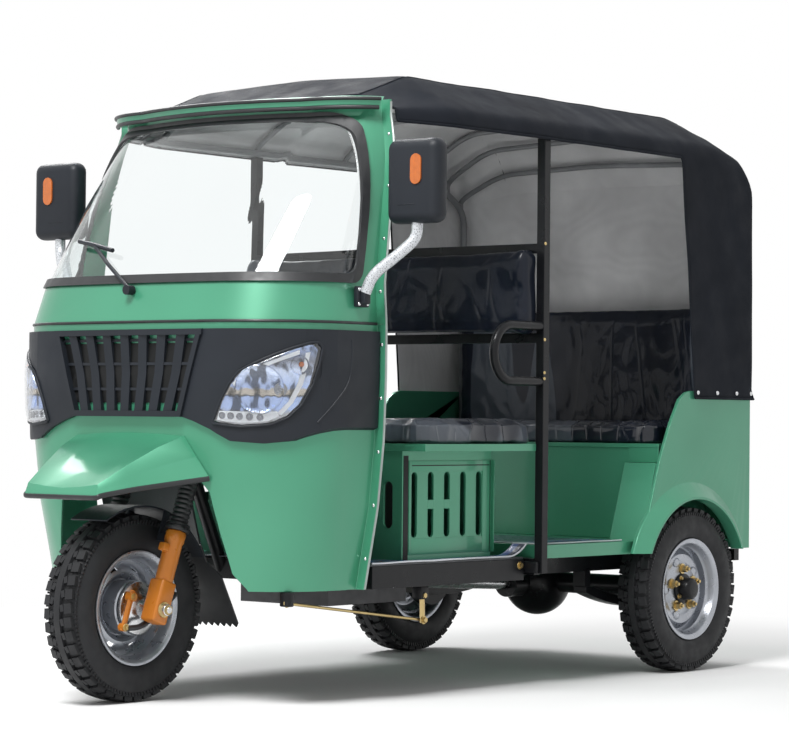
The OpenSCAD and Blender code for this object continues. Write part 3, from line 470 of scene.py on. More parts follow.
def studio_world():
    """Even white light; the camera, gloss and glass see plain white."""
    world = bpy.data.worlds.new("studio")
    world.use_nodes = True
    tree = world.node_tree
    backdrop = tree.nodes["Background"]
    backdrop.inputs["Color"].default_value = (1, 1, 1, 1)
    level = tree.nodes.new("ShaderNodeMapRange")
    level.inputs["To Min"].default_value = WORLD_LEVEL
    level.inputs["To Max"].default_value = 1.0
    tree.links.new(background_rays(tree), level.inputs["Value"])
    tree.links.new(level.outputs["Result"], backdrop.inputs["Strength"])
    scene.world = world


def photo_camera():
    """Stands off the front left corner, as high as the seats, looking a touch upwards."""
    azimuth, tilt, roll = radians(39.19), radians(-0.967), radians(0.539)
    eye = (5.849, -7.0195, 0.825)
    back = Vector((sin(azimuth) * cos(tilt), -cos(azimuth) * cos(tilt), sin(tilt)))
    level = Vector((cos(azimuth), sin(azimuth), 0))
    up = back.cross(level)
    right = level * cos(roll) + up * sin(roll)
    data = bpy.data.cameras.new("camera")
    data.sensor_width = 36
    data.lens = 130.36
    made = bpy.data.objects.new("camera", data)
    turn = Matrix((right, back.cross(right), back)).transposed()
    made.matrix_world = Matrix.Translation(eye) @ turn.to_4x4()
    scene.collection.objects.link(made)
    scene.camera = made


plain_stage()
studio_world()
soft_light("key", (1.2, -4.6, 6.6), (0, 0, 0.9), 3.0, 600)
soft_light("rim", (-4.0, 2.0, 5.5), (0, 0, 0.9), 3.0, 260)
photo_camera()
scene.view_settings.view_transform = "Standard"


# painted and moulded panels

for panel in ("nose_shell", "cab_upper", "seat_box", "rear_side_left", "rear_side_right",
              "tail_panel", "rear_seat_base", "headlamp_fascias", "dashboard", "side_sills", "partition_frame",
              "wiper", "fork_yoke", "front_axle", "front_mudguard", "mud_flap", "handlebar", "chassis_frame",
              "rear_bumper", "cab_floor", "leaf_springs", "exhaust", "engine", "rear_axle"):
    softened(panel)
softened("rear_floor", slot="body_green")
softened("windscreen_seal", 0.003)
for smooth_part in ("grab_handles", "drive_shaft"):
    softened(smooth_part, 0)


# shapes


def lathe(bm, profile, steps=64, closed=True):
    """Spins a profile of (along X, radius) points round the X axis."""
    ring = [bm.verts.new((along, 0, radius)) for along, radius in profile]
    ends = ring[1:] + ring[:1] if closed else ring[1:]
    edges = [bm.edges.new(pair) for pair in zip(ring, ends)]
    return bmesh.ops.spin(bm, geom=ring + edges, axis=(1, 0, 0), cent=(0, 0, 0), angle=2 * pi, steps=steps,
                          use_merge=True)


def facing(place, out):
    """Turns +Z to point along out, at a place."""
    return Matrix.Translation(place) @ Vector(out).to_track_quat("Z", "Y").to_matrix().to_4x4()


def swept(bm, points, radius, sides=12, flat=1.0):
    """Runs a closed tube through points; flat narrows it along its first cross direction."""
    points = [Vector(p) for p in points]
    along = (points[1] - points[0]).normalized()
    here = facing(points[0], along) @ Matrix.Diagonal((flat, 1, 1, 1))
    ring = bmesh.ops.create_circle(bm, segments=sides, radius=radius, matrix=here)["verts"]
    first, edges = ring, list({e for v in ring for e in v.link_edges})
    for k in range(1, len(points)):
        ahead = (points[min(k + 1, len(points) - 1)] - points[k - 1]).normalized()
        turn = along.rotation_difference(ahead).to_matrix().to_4x4()
        made = bmesh.ops.extrude_edge_only(bm, edges=edges)["geom"]
        ring = [g for g in made if isinstance(g, bmesh.types.BMVert)]
        edges = [g for g in made if isinstance(g, bmesh.types.BMEdge) and all(v in ring for v in g.verts)]
        step = Matrix.Translation(points[k]) @ turn @ Matrix.Translation(-points[k - 1])
        bmesh.ops.transform(bm, matrix=step, verts=ring)
        along = ahead
    for cap in (first, ring):
        bmesh.ops.contextual_create(bm, geom=cap)


def eased(points, radius, steps=5):
    """Rounds the corners of a run of points."""
    points = [Vector(p) for p in points]
    made = [points[0]]
    for a, b, c in zip(points, points[1:], points[2:]):
        near = b + (a - b).normalized() * min(radius, (a - b).length * 0.49)
        far = b + (c - b).normalized() * min(radius, (c - b).length * 0.49)
        for k in range(steps + 1):
            t = k / steps
            made.append(near * (1 - t) ** 2 + b * 2 * t * (1 - t) + far * t * t)
    return made + [points[-1]]


def block(bm, lo, hi, radius=0.0, segments=3):
    """A block between two corners, its edges rounded."""
    lo, hi = Vector(lo), Vector(hi)
    size = Matrix.Diagonal((*(hi - lo), 1))
    verts = bmesh.ops.create_cube(bm, size=1, matrix=Matrix.Translation((lo + hi) / 2) @ size)["verts"]
    if radius:
        edges = list({e for v in verts for e in v.link_edges})
        bmesh.ops.bevel(bm, geom=edges, offset=radius, offset_type="OFFSET", affect="EDGES", segments=segments,
                        profile=0.5, material=-1)


def hex_nut(bm, place, out, radius, height):
    """A hexagon head on its washer, on a surface that faces out."""
    turn = facing(place, out)
    for sides, r, low, high in ((16, radius * 1.55, 0, height * 0.2), (6, radius, height * 0.2, height)):
        cone(bm, turn @ Matrix.Translation((0, 0, (low + high) / 2)), r, r * 0.96, high - low, sides)


def dome_head(bm, place, out, radius):
    ball(bm, facing(place, out) @ Matrix.Diagonal((1, 1, 0.55, 1)), radius, 10, 6)


def ring_of(count, x, radius, start=0.0):
    """Evenly spaced places on a circle round the X axis."""
    turns = [start + 2 * pi * k / count for k in range(count)]
    return [(x, radius * cos(turn), radius * sin(turn)) for turn in turns]


def grid_sheet(columns, rows):
    """A flat grid in a bmesh, and its vertices row by row from the front, each row along X."""
    bm = bmesh.new()
    bmesh.ops.create_grid(bm, x_segments=columns - 1, y_segments=rows - 1, size=1)
    return bm, sorted(bm.verts, key=lambda v: (round(v.co.y, 5), round(v.co.x, 5)))


def reflected(points):
    """The mirror image of a run of points, from its last point back."""
    return [Vector((-p.x, p.y, p.z)) for p in reversed(points)]


def mirrored(bm):
    """Copies what is in a bmesh to the other side of the vehicle."""
    geom = bm.verts[:] + bm.edges[:] + bm.faces[:]
    bmesh.ops.mirror(bm, geom=geom, matrix=Matrix.Identity(4), merge_dist=0, axis="X")


def both_sides(name, bm, finish, body="body", **more):
    """A piece made on the left, with its mirror image on the right."""
    mirrored(bm)
    return piece(name, bm, body, finish, **more)


def bar(bm, frame_at, size):
    """A plain block of the given size, set in a frame."""
    bmesh.ops.create_cube(bm, size=1, matrix=frame_at @ Matrix.Diagonal((*size, 1)))


def cone(bm, frame_at, low_r, top_r, height, sides):
    bmesh.ops.create_cone(bm, cap_ends=True, segments=sides, radius1=low_r, radius2=top_r, depth=height,
                          matrix=frame_at)


def ball(bm, frame_at, radius, around, rows):
    bmesh.ops.create_uvsphere(bm, u_segments=around, v_segments=rows, radius=radius, matrix=frame_at)


# wheels


def tyre(name, hub, body):
    """Block tread: a middle rib, two rows of shoulder lugs and fine ribs below the shoulders."""
    lug_h = 0.011
    base = TYRE_R - lug_h
    side = [(0.0495, 0.1535), (0.0495, 0.168), (0.056, 0.176), (0.0612, 0.193), (0.0622, 0.211),
            (0.0600, 0.229), (0.0555, 0.243), (0.0515, 0.252), (0.0475, base - 0.004), (0.040, base)]
    rib = [(0.0135, base + 0.0005), (0.0115, TYRE_R - 0.0005), (0.0, TYRE_R)]
    half = side + rib
    bm = bmesh.new()
    lathe(bm, half + [(-along, radius) for along, radius in reversed(half[:-1])], 96)
    lugs, ribs = 42, 126
    for k in range(lugs):
        for way in (-1, 1):
            turn = Matrix.Rotation(2 * pi * (k + 0.25 * way) / lugs, 4, "X")
            inner = Matrix.Translation((way * 0.0205, 0, base + 0.0035)) @ Matrix.Rotation(way * 0.30, 4, "Z")
            outer = Matrix.Translation((way * 0.0400, 0, base - 0.0003)) @ Matrix.Rotation(way * 0.16, 4, "Y")
            outer = outer @ Matrix.Rotation(way * 0.12, 4, "Z")
            bar(bm, turn @ inner, (0.013, 0.020, 0.0135))
            bar(bm, turn @ outer, (0.0245, 0.0285, 0.0165))
    for k in range(ribs):
        for way in (-1, 1):
            turn = Matrix.Rotation(2 * pi * (k + 0.5) / ribs, 4, "X")
            lean = Matrix.Translation((way * 0.0550, 0, 0.2445)) @ Matrix.Rotation(way * 0.35, 4, "Y")
            bar(bm, turn @ lean, (0.0032, 0.0055, 0.022))
    bmesh.ops.translate(bm, vec=hub, verts=bm.verts)
    return piece(name, bm, body, "tyre", replaces=[name.replace("_tread", "_tyre")], sharp=30)


def rim_barrel(bm):
    outer = mm("55.5 161.5, 55.5 166.5, 52.5 167.2, 49.8 165.5, 49.2 157, 46.2 153.2, 30 151.5, 21.5 144")
    inner = mm("20 139.5, 29.5 147, 47 149, 52 153")
    right = [(-along, radius) for along, radius in outer]
    inner_right = [(-along, radius) for along, radius in inner]
    lathe(bm, outer + right[::-1] + inner_right[::-1] + inner, 96)


def pressed_disc(bm, face, wall, holes, hole_band, steps=80):
    """A dished disc spun from its face line, with hand holes cut in one band and the given wall."""
    before = set(bm.faces)
    lathe(bm, face, steps, closed=False)
    bmesh.ops.remove_doubles(bm, verts=bm.verts, dist=1e-6)
    made = [f for f in bm.faces if f not in before]
    low, high = hole_band
    cut = []
    for f in made:
        mid = f.calc_center_median()
        radius = (mid.y ** 2 + mid.z ** 2) ** 0.5
        turn = (Vector((mid.y, mid.z)).angle_signed(Vector((1, 0))) % (2 * pi)) * holes / (2 * pi)
        if low < radius < high and abs(turn % 1 - 0.5) < 0.15:
            cut.append(f)
    bmesh.ops.delete(bm, geom=cut, context="FACES")
    bmesh.ops.solidify(bm, geom=[f for f in bm.faces if f not in before], thickness=wall)


def front_wheel():
    bm = bmesh.new()
    rim_barrel(bm)
    disc = mm("-17 34, -17 82, -6 90, 0 100, -2 111, -12 121, -16 130, -14 142")
    pressed_disc(bm, disc, 0.004, 8, (0.1115, 0.1215))
    lathe(bm, mm("-24 12, 42 12, 44 76, 40 80, -10 80, -24 74"), 64)
    lathe(bm, mm("-94 12, -94 30, -90 34, -30 34, -22 45, -22 12"), 48)
    for place in ring_of(5, -0.0145, 0.098):
        dome_head(bm, place, (1, 0, 0), 0.006)
    bmesh.ops.translate(bm, vec=front_hub, verts=bm.verts)
    piece("front_wheel_steel", bm, "front_wheel", "silver_paint", replaces=["front_rim"], sharp=35)


def rear_wheel(side, body, node):
    """Seen from its own outer side: a dished disc, five nuts and a black hub cap."""
    hub = Vector((side * rear_hub.x, rear_hub.y, rear_hub.z))
    turn = Matrix.Translation(hub) @ Matrix.Diagonal((side, 1, 1, 1))
    bm = bmesh.new()
    rim_barrel(bm)
    disc = mm("19 30, 19 78, 14 86, 13 94, 17 103, 16 114, 4 124, -4 134, -3 142")
    pressed_disc(bm, disc, 0.004, 5, (0.1035, 0.1045))
    for place in ring_of(5, 0.0155, 0.090, pi / 5):
        ball(bm, Matrix.Translation(place) @ Matrix.Diagonal((0.45, 1, 1, 1)), 0.017, 20, 10)
    lathe(bm, mm("-70 18, -70 50, -66 52, 4 52, 12 48, 12 18"), 48)
    lathe(bm, mm("-106 0, -106 15.5, 10 15.5, 10 0"), 32, closed=False)
    bmesh.ops.transform(bm, matrix=turn, verts=bm.verts)
    piece(f"{body}_steel", bm, body, "silver_paint", replaces=[node], sharp=35)
    bm = bmesh.new()
    lathe(bm, mm("19 0, 19 50, 26 50, 29 46, 31 38, 58 35, 64 30, 66 22, 65.5 0"), 48, closed=False)
    bmesh.ops.transform(bm, matrix=turn, verts=bm.verts)
    piece(f"{body}_hub_cap", bm, body, "black_steel")
    bm = bmesh.new()
    for nut, stud in zip(ring_of(5, 0.019, 0.066, 0.35), ring_of(5, 0.045, 0.066, 0.35)):
        hex_nut(bm, nut, (1, 0, 0), 0.0115, 0.022)
        cone(bm, facing(stud, (1, 0, 0)), 0.0062, 0.0052, 0.010, 12)
    for place in ring_of(4, 0.030, 0.042, 0.6):
        hex_nut(bm, place, (1, 0, 0), 0.0055, 0.008)
    bmesh.ops.transform(bm, matrix=turn, verts=bm.verts)
    piece(f"{body}_nuts", bm, body, gold_zinc, slot="bare_steel")


tyre("front_tread", front_hub, "front_wheel")
tyre("rear_left_tread", rear_hub, "rear_wheel_left")
tyre("rear_right_tread", Vector((-rear_hub.x, rear_hub.y, rear_hub.z)), "rear_wheel_right")
front_wheel()
rear_wheel(1, "rear_wheel_left", "rear_left_rim")
rear_wheel(-1, "rear_wheel_right", "rear_right_rim")


# fork and front brake

UPRIGHT = Matrix.Rotation(-pi / 2, 4, "Y")
LEG = Matrix.Translation(front_hub + Vector((0.130, 0, 0))) @ Matrix.Rotation(-RAKE, 4, "X")


def fork_legs():
    """Orange sliders, round above and flat-sided at the axle, under ribbed boots."""
    bm = bmesh.new()
    lathe(bm, mm("20 0, 20 26.5, 198 26.5, 206 29.5, 230 30, 234.5 27, 234.5 0"), 40, closed=False)
    bmesh.ops.transform(bm, matrix=UPRIGHT, verts=bm.verts)
    block(bm, (-0.0285, -0.0295, -0.040), (0.0285, 0.0295, 0.086), 0.008, 3)
    block(bm, (-0.012, -0.046, 0.166), (0.012, -0.015, 0.190), 0.004, 2)
    bmesh.ops.transform(bm, matrix=LEG, verts=bm.verts)
    both_sides("fork_legs", bm, "fork_orange", "steering", replaces=["fork_sliders"], sharp=35)
    folds, low, pitch, valley, ridge = 11, 0.2625, 0.0142, 0.0232, 0.0268
    boot = mm("235.5 0, 235.5 34, 238 36, 246 36, 247.5 32.5, 250 32.5, 251.5 35.5, 258 35, 260.5 29")
    for k in range(folds):
        boot += [(low + pitch * (k + f), radius) for f, radius in ((0, valley), (0.4, ridge), (0.6, ridge))]
    boot += [(low + pitch * folds, valley), (low + pitch * folds, 0)]
    bm = bmesh.new()
    lathe(bm, boot, 40, closed=False)
    bmesh.ops.transform(bm, matrix=LEG @ UPRIGHT, verts=bm.verts)
    both_sides("fork_boots", bm, "seal_rubber", "steering", replaces=["fork_gaiters"], sharp=50)


def front_brake():
    """Dished brake plate, its orange cam lever, the axle nuts and the black link behind the leg."""
    def near(y, z, x=0.080):
        return front_hub + Vector((x, y, z))

    bm = bmesh.new()
    lathe(bm, mm("50 0, 50 77, 55 78, 60 75.5, 62.5 66, 63 50, 68 44, 71 34, 74 26, 97.5 22, 99.5 18,"
                 "99.5 0"), 64, closed=False)
    bmesh.ops.translate(bm, vec=front_hub, verts=bm.verts)
    piece("brake_plate", bm, "steering", "bare_steel", replaces=["front_brake_plate"], sharp=40)
    bm = bmesh.new()
    lever = [near(y, z) for y, z in mm("-46 54, -52 36, -83 -50, -86 -60")]
    swept(bm, lever, 0.0105, 12, 0.55)
    pins = ((-0.052, 0.036, 0.015), (-0.083, -0.050, 0.012))
    for y, z, radius in pins:
        cone(bm, facing(near(y, z), (1, 0, 0)), radius, radius * 0.92, 0.022, 24)
    piece("brake_lever", bm, "steering", "fork_orange")
    bm = bmesh.new()
    for y, z, _ in pins:
        hex_nut(bm, near(y, z, 0.0905), (1, 0, 0), 0.0075, 0.008)
    for way in (1, -1):
        hex_nut(bm, near(0, 0, way * 0.1595), (way, 0, 0), 0.0150, 0.022)
    piece("fork_nuts", bm, "steering", gold_zinc, slot="bare_steel")
    bm = bmesh.new()
    link = [near(-0.080, -0.052, 0.094), near(-0.030, -0.052, 0.097), near(0.050, -0.012, 0.092),
            near(0.121, 0.038, 0.090)]
    swept(bm, eased(link, 0.03, 5), 0.0085, 10)
    piece("brake_link", bm, "steering", "seal_rubber")


fork_legs()
front_brake()


# cab surface

CAB_HALF, NOSE_S, FLANGE = 0.580, 0.006, 0.030
# height, nose set back, crown, narrowing, corner radius and rear edge of the pressed cab, in millimetres
CAB = ((330, 56, 12, 56, 262, 420), (420, 46, 12, 42, 266, 424), (570, 24, 12, 18, 276, 430),
       (765, 6, 12, 3, 284, 436), (950, 0, 12, 0, 286, 440), (1100, 0, 12, 0, 286, 440),
       (1211, 33, 14, 15, 280, 448), (1466, 184, 38, 18, 255, 480), (1715, 359, 60, 20, 230, 525))


def table_at(table, key, column):
    """A column of a millimetre table between its rows, in metres; the first column is the key."""
    here = min(max(key / MM, table[0][0]), table[-1][0])
    for low, high in zip(table, table[1:]):
        if here <= high[0]:
            t = (here - low[0]) / (high[0] - low[0])
            return (low[column] + (high[column] - low[column]) * t) * MM


def cab(z, column):
    """One measure of the cab at a height."""
    return table_at(CAB, z, column)


def cab_corner(z):
    """Centre (x, s) and radius of the rounded cab corner at a height."""
    radius = cab(z, 4)
    return CAB_HALF - cab(z, 3) - radius, NOSE_S + cab(z, 1) + cab(z, 2) + radius, radius


def corner_at(z, turn, proud):
    """A point over the left cab corner, turned away from straight ahead."""
    mid_x, mid_s, radius = cab_corner(z)
    out = radius + proud
    return at(mid_x + out * sin(turn), mid_s - out * cos(turn), z)


def nose_at(x, z, proud=0.0):
    """A point on the front of the cab, standing proud of its skin."""
    mid_x, mid_s, radius = cab_corner(z)
    if abs(x) <= mid_x:
        return at(x, NOSE_S + cab(z, 1) - proud + cab(z, 2) * (x / mid_x) ** 2, z)
    return at(x, mid_s - max(0.0, (radius + proud) ** 2 - (abs(x) - mid_x) ** 2) ** 0.5, z)


def cab_line(z, proud, end_s):
    """Round the cab at one height, from the right rear edge to the left one."""
    mid_x, _, radius = cab_corner(z)
    half = [nose_at(mid_x * k / 6, z, proud) for k in range(1, 7)]
    half += [corner_at(z, pi / 2 * k / 14, proud) for k in range(1, 15)]
    half.append(at(mid_x + radius + proud, end_s, z))
    return reflected(half) + [nose_at(0, z, proud)] + half


def flange_at(z, inset):
    """A point on the outer edge of the left rear flange, moved in towards the cab."""
    mid_x, mid_s, radius = cab_corner(z)
    share = min(1.0, max(0.0, (mid_s - cab(z, 5)) / radius))
    return at(mid_x + radius * (1 - share * share) ** 0.5 + FLANGE - inset, cab(z, 5), z)


def nose_slab(bm, line_a, line_b, low, high, tilt=0.0):
    """A slab on the nose between two front-view lines; high may follow the height, tilt lowers the second."""
    proud = high if callable(high) else lambda z: high
    a, b = ([bm.verts.new(nose_at(x, z, proud(z) - drop)) for x, z in line]
            for line, drop in ((line_a, 0), (line_b, tilt)))
    faces = [bm.faces.new((a[k], a[k + 1], b[k + 1], b[k])) for k in range(len(line_a) - 1)]
    made = bmesh.ops.extrude_face_region(bm, geom=faces)["geom"]
    for v in (g for g in made if isinstance(g, bmesh.types.BMVert)):
        v.co = nose_at(v.co.x, v.co.z, low)


def between(a, b, count):
    return [tuple(p + (q - p) * k / count for p, q in zip(a, b)) for k in range(count + 1)]


# windscreen and roof lip

SCREEN_LOW, SCREEN_TOP, SCREEN_ROUND, POST = 1.2275, 1.7145, 0.046, 0.0765


def screen_edge(z):
    """Station of the glass's rear edge at a height: a straight line with rounded ends."""
    low, top = 0.448 - POST, 0.525 - POST
    line = low + (top - low) * (z - SCREEN_LOW) / (SCREEN_TOP - SCREEN_LOW)
    short = max(0.0, SCREEN_LOW + SCREEN_ROUND - z, z - SCREEN_TOP + SCREEN_ROUND)
    return line - SCREEN_ROUND + max(0.0, SCREEN_ROUND ** 2 - short ** 2) ** 0.5


def skin_run(z, end_s, proud, count):
    """Evenly spaced points round the left half of the cab at a height, from the middle to a station."""
    mid_x, mid_s, radius = cab_corner(z)
    run = [nose_at(mid_x * k / 20, z, proud) for k in range(21)]
    run += [corner_at(z, pi / 2 * k / 60, proud) for k in range(1, 61)]
    run.append(at(mid_x + radius + proud, max(end_s, mid_s) + 0.1, z))
    end_y = at(0, end_s, 0).y
    last = next(k for k, p in enumerate(run) if p.y > end_y)
    a, b = run[last - 1], run[last]
    run = run[:last] + [a.lerp(b, (end_y - a.y) / (b.y - a.y))]
    lengths = [0.0]
    for p, q in zip(run, run[1:]):
        lengths.append(lengths[-1] + (q - p).length)
    made = []
    for k in range(count + 1):
        want = lengths[-1] * k / count
        j = next((j for j in range(1, len(run)) if lengths[j] >= want - 1e-9), len(run) - 1)
        made.append(run[j - 1].lerp(run[j], (want - lengths[j - 1]) / (lengths[j] - lengths[j - 1])))
    return made


def windscreen():
    """One bowed sheet of glass that wraps round both corners of the cab."""
    rows, half = 48, 44
    bm, ordered = grid_sheet(2 * half + 1, rows + 1)
    for row in range(rows + 1):
        z = SCREEN_LOW + (SCREEN_TOP - SCREEN_LOW) * row / rows
        run = skin_run(z, screen_edge(z), -0.002, half)
        for column in range(-half, half + 1):
            p = run[abs(column)]
            ordered[row * (2 * half + 1) + column + half].co = (p.x if column > 0 else -p.x, p.y, p.z)
    bmesh.ops.recalc_face_normals(bm, faces=bm.faces)
    if sum(f.normal.y for f in bm.faces) > 0:
        bmesh.ops.reverse_faces(bm, faces=bm.faces)
    made = placed("screen", bm, "body", "glass", replaces=["windscreen_glass"], sharp=180)
    pane = made.modifiers.new("pane", "SOLIDIFY")
    pane.thickness, pane.offset = 0.004, -1


def roof_lip():
    """Dark rubber along both edges of the roof lip."""
    bm = bmesh.new()
    for z, proud, radius in ((1.7375, 0.0300, 0.0065), (1.7625, 0.0362, 0.0055)):
        left = skin_run(z, 0.494, proud, 40)
        swept(bm, reflected(left[1:]) + left, radius, 10)
    piece("roof_lip_rubber", bm, "body", "seal_rubber")


windscreen()
roof_lip()

# nose: grille, lamps, trim

GRILLE_TOP, GRILLE_LOW = 1.078, 0.826


def grille_half(z):
    return 0.219 + 0.078 * (z - GRILLE_LOW) / (GRILLE_TOP - GRILLE_LOW)


def grille_band(bm, z_a, half_a, z_b, half_b, proud):
    """A band right across the grille between two heights."""
    low, high = (between((-half, z), (half, z), 16) for half, z in ((half_a, z_a), (half_b, z_b)))
    nose_slab(bm, low, high, 0.001, proud)


def grille():
    """A moulded frame, seven waisted upright slats and three thin cross rows over the green nose, with painted
    shade behind the slats.
    """
    bm = bmesh.new()
    border, depth, slat = 0.017, 0.022, 0.028
    for z, inner in ((GRILLE_TOP, -border), (GRILLE_LOW, border)):
        wide = grille_half(z)
        grille_band(bm, z, wide, z + inner, wide, depth)
    for way in (-1, 1):
        ends = [(way * grille_half(z), z) for z in (GRILLE_LOW, GRILLE_TOP)]
        outer = between(*ends, 10)
        nose_slab(bm, outer, [(x - way * border, z) for x, z in outer], 0.001, depth)
    foot, head = GRILLE_LOW + 0.008, GRILLE_TOP - 0.008

    def waist(z):
        return 0.011 + 0.010 * abs(2 * (z - foot) / (head - foot) - 1)

    for k in range(1, 8):
        share = 2 * k / 8 - 1
        ends = [(share * grille_half(z) - slat / 2, z) for z in (foot, head)]
        line = between(*ends, 10)
        nose_slab(bm, line, [(x + slat, z) for x, z in line], 0.001, waist, 0.005)
    for share in (0.30, 0.59, 0.86):
        z = GRILLE_LOW + share * (GRILLE_TOP - GRILLE_LOW)
        wide = grille_half(z) - 0.01
        grille_band(bm, z, wide, z + 0.008, wide, 0.007)
    made = piece("grille_slats", bm, "body", "black_plastic", replaces=["grille"])
    rounded(made, 0.0022, 40)
    # painted shade: near-black bands over the green nose behind the slats, where it lies in shade
    bm = bmesh.new()
    for low, high in ((0.866, 0.910), (0.910, 0.955), (0.955, 1.038)):
        grille_band(bm, low, grille_half(low), high, grille_half(high), 0.0032)
    piece("grille_shade", bm, "body", painted_shade_black, slot="black_plastic")


# front view of the left lamp, from its inner lower corner round
LAMP = mm("338 812, 419 804, 488 810, 522 830, 545 865, 562 921, 570 978, 574 1025, 570 1038, 548 1026,"
          "514 1004, 464 979, 418 954, 391 919, 364 871")
LAMP_MID = Vector((0.480, 0.905))
LENS, LAMP_FLOOR = 0.0158, 0.0145


def lamp_at(x, z, proud, along=0.0):
    """A point over the left cab corner: x as seen from the front at the lens, then moved along the skin."""
    mid_x, _, radius = cab_corner(z)
    return corner_at(z, asin((x - mid_x) / (radius + LENS)) + along / (radius + LENS), proud)


def lamp_outline():
    """Front view of the left lamp, a leaf with two pointed ends, in even steps."""
    turns, corner = [2 * pi * k / 12 for k in range(12)], 0.004
    rounds = [Vector((x + corner * cos(turn), z + corner * sin(turn))) for x, z in LAMP for turn in turns]
    hull = [rounds[k] for k in convex_hull_2d(rounds)]
    sides = list(zip(hull, hull[1:] + hull[:1]))
    total, count = sum((b - a).length for a, b in sides), 96
    made, passed = [], 0.0
    for a, b in sides:
        long = (b - a).length
        while len(made) < count and len(made) * total / count < passed + long:
            made.append(a.lerp(b, (len(made) * total / count - passed) / long))
        passed += long
    return made


def lamp_rings(bm, rings):
    """Rings of the lamp outline drawn in towards its middle, each at a height off the nose, and closed."""
    outline = lamp_outline()
    edges = []
    for k, (share, proud) in enumerate(rings):
        if k == 0:
            verts = [bm.verts.new() for _ in outline]
            edges = [bm.edges.new(pair) for pair in zip(verts, verts[1:] + verts[:1])]
        else:
            made = bmesh.ops.extrude_edge_only(bm, edges=edges)["geom"]
            fresh = {v for v in made if isinstance(v, bmesh.types.BMVert)}
            edges = [e for e in made if isinstance(e, bmesh.types.BMEdge) and all(v in fresh for v in e.verts)]
            verts = [next(e.other_vert(v) for e in v.link_edges if e.other_vert(v) in fresh) for v in verts]
        for v, p in zip(verts, outline):
            x, z = LAMP_MID + (p - LAMP_MID) * share
            v.co = lamp_at(x, z, proud)
    bmesh.ops.contextual_create(bm, geom=verts)
    bmesh.ops.triangulate(bm, faces=[f for f in bm.faces if len(f.verts) > 4])


def lamp_bowl(bm, x, z, profile):
    """Spins a profile of (height off the nose, radius) about a place in the lamp, laid on the curved nose."""
    before = set(bm.verts)
    lathe(bm, profile, 40, closed=False)
    for v in [v for v in bm.verts if v not in before]:
        v.co = lamp_at(x, z + v.co.z, v.co.x, v.co.y)


def lamp_strip(bm, line_a, line_b, low, high):
    """A raised band in the lamp between two front-view lines."""
    rows = [[bm.verts.new(lamp_at(x, z, proud)) for x, z in line]
            for line, proud in ((line_a, low), (line_a, high), (line_b, high), (line_b, low))]
    for a, b in zip(rows, rows[1:] + rows[:1]):
        for k in range(len(line_a) - 1):
            bm.faces.new((a[k], a[k + 1], b[k + 1], b[k]))
    for k in (0, -1):
        bm.faces.new([row[k] for row in rows])


def headlamps():
    """Clear lens, chrome bowls, a white strip with five small lights, an amber bulb and a dark surround."""
    bm = bmesh.new()
    lamp_rings(bm, ((0.985, 0.0165), (0.96, 0.0200), (0.90, 0.0225), (0.75, 0.0250), (0.6, 0.0260),
                    (0.45, 0.0265), (0.3, 0.0267), (0.15, 0.0268)))
    bmesh.ops.recalc_face_normals(bm, faces=bm.faces)
    bmesh.ops.solidify(bm, geom=bm.faces[:], thickness=0.0018)
    both_sides("headlamp_lenses", bm, "lamp_lens", replaces=["headlamps"])
    bm = bmesh.new()
    floor = [(share, LAMP_FLOOR) for share in (0.985, 0.9, 0.75, 0.6, 0.45, 0.3, 0.15)]
    lamp_rings(bm, [(0.985, 0.001), *floor])
    lamp_bowl(bm, 0.466, 0.906, mm("14.8 0, 14.8 30, 15.7 50, 18.2 62, 20.7 67, 18.7 70, 14.3 72"))
    lamp_bowl(bm, 0.547, 0.975, mm("14.8 0, 15 14, 16.7 22, 18.7 26, 14.3 28"))
    both_sides("headlamp_bowls", bm, chrome, slot="bare_steel", sharp=20)
    bm = bmesh.new()
    outline = lamp_outline()
    rim = [lamp_at(p.x, p.y, LENS) for p in outline]
    swept(bm, rim + rim[:2], 0.0046, 8)
    band = [LAMP_MID + (p - LAMP_MID) * 0.94 for p in outline]
    lamp_strip(bm, outline + outline[:1], band + band[:1], LAMP_FLOOR, LENS)
    lamp_strip(bm, mm("552 880, 561 905, 566 935, 572 975, 576 1005, 577 1030"),
               mm("562 870, 584 905, 586 935, 587 975, 587 1005, 585 1042"), 0.004, 0.0138)
    both_sides("headlamp_rims", bm, "black_plastic")
    bm = bmesh.new()
    lamp_strip(bm, mm("349 819, 380 814, 420 811.5, 460 813, 486 817, 508 830"),
               mm("357 844, 385 843.5, 420 843, 460 843, 488 843.5, 504 844"), LAMP_FLOOR, 0.0168)
    lamp_strip(bm, mm("512 832, 534 868, 551 921, 559 976, 562 1012"),
               mm("505 840, 526 872, 543 924, 552 978, 556 1010"), LAMP_FLOOR, 0.0168)
    lamp_strip(bm, mm("398 922, 424 949, 466 973, 514 998, 546 1018"),
               mm("403 914, 428 940, 469 964, 515 988, 546 1006"), LAMP_FLOOR, 0.0168)
    both_sides("headlamp_strips", bm, lamp_white, slot="lamp_lens")
    bm = bmesh.new()
    for k in range(5):
        lamp_bowl(bm, 0.366 + 0.0253 * k, 0.8315 - 0.0012 * k,
                  mm("19.7 0, 19.2 3, 17.7 3.5, 18 7.5, 19.5 8.5, 19.2 9.8, 15.7 10"))
    lamp_bowl(bm, 0.512, 0.906, mm("20.7 0, 19.7 5.5, 17.7 6, 18.7 12, 16.7 12.5, 17.7 18.5, 14.8 19.5"))
    both_sides("headlamp_lights", bm, lamp_grey, slot="bare_steel")
    bm = bmesh.new()
    ball(bm, Matrix.Translation(lamp_at(0.549, 0.977, 0.0152)), 0.0078, 20, 12)
    both_sides("headlamp_amber_bulbs", bm, amber, slot="lamp_lens")


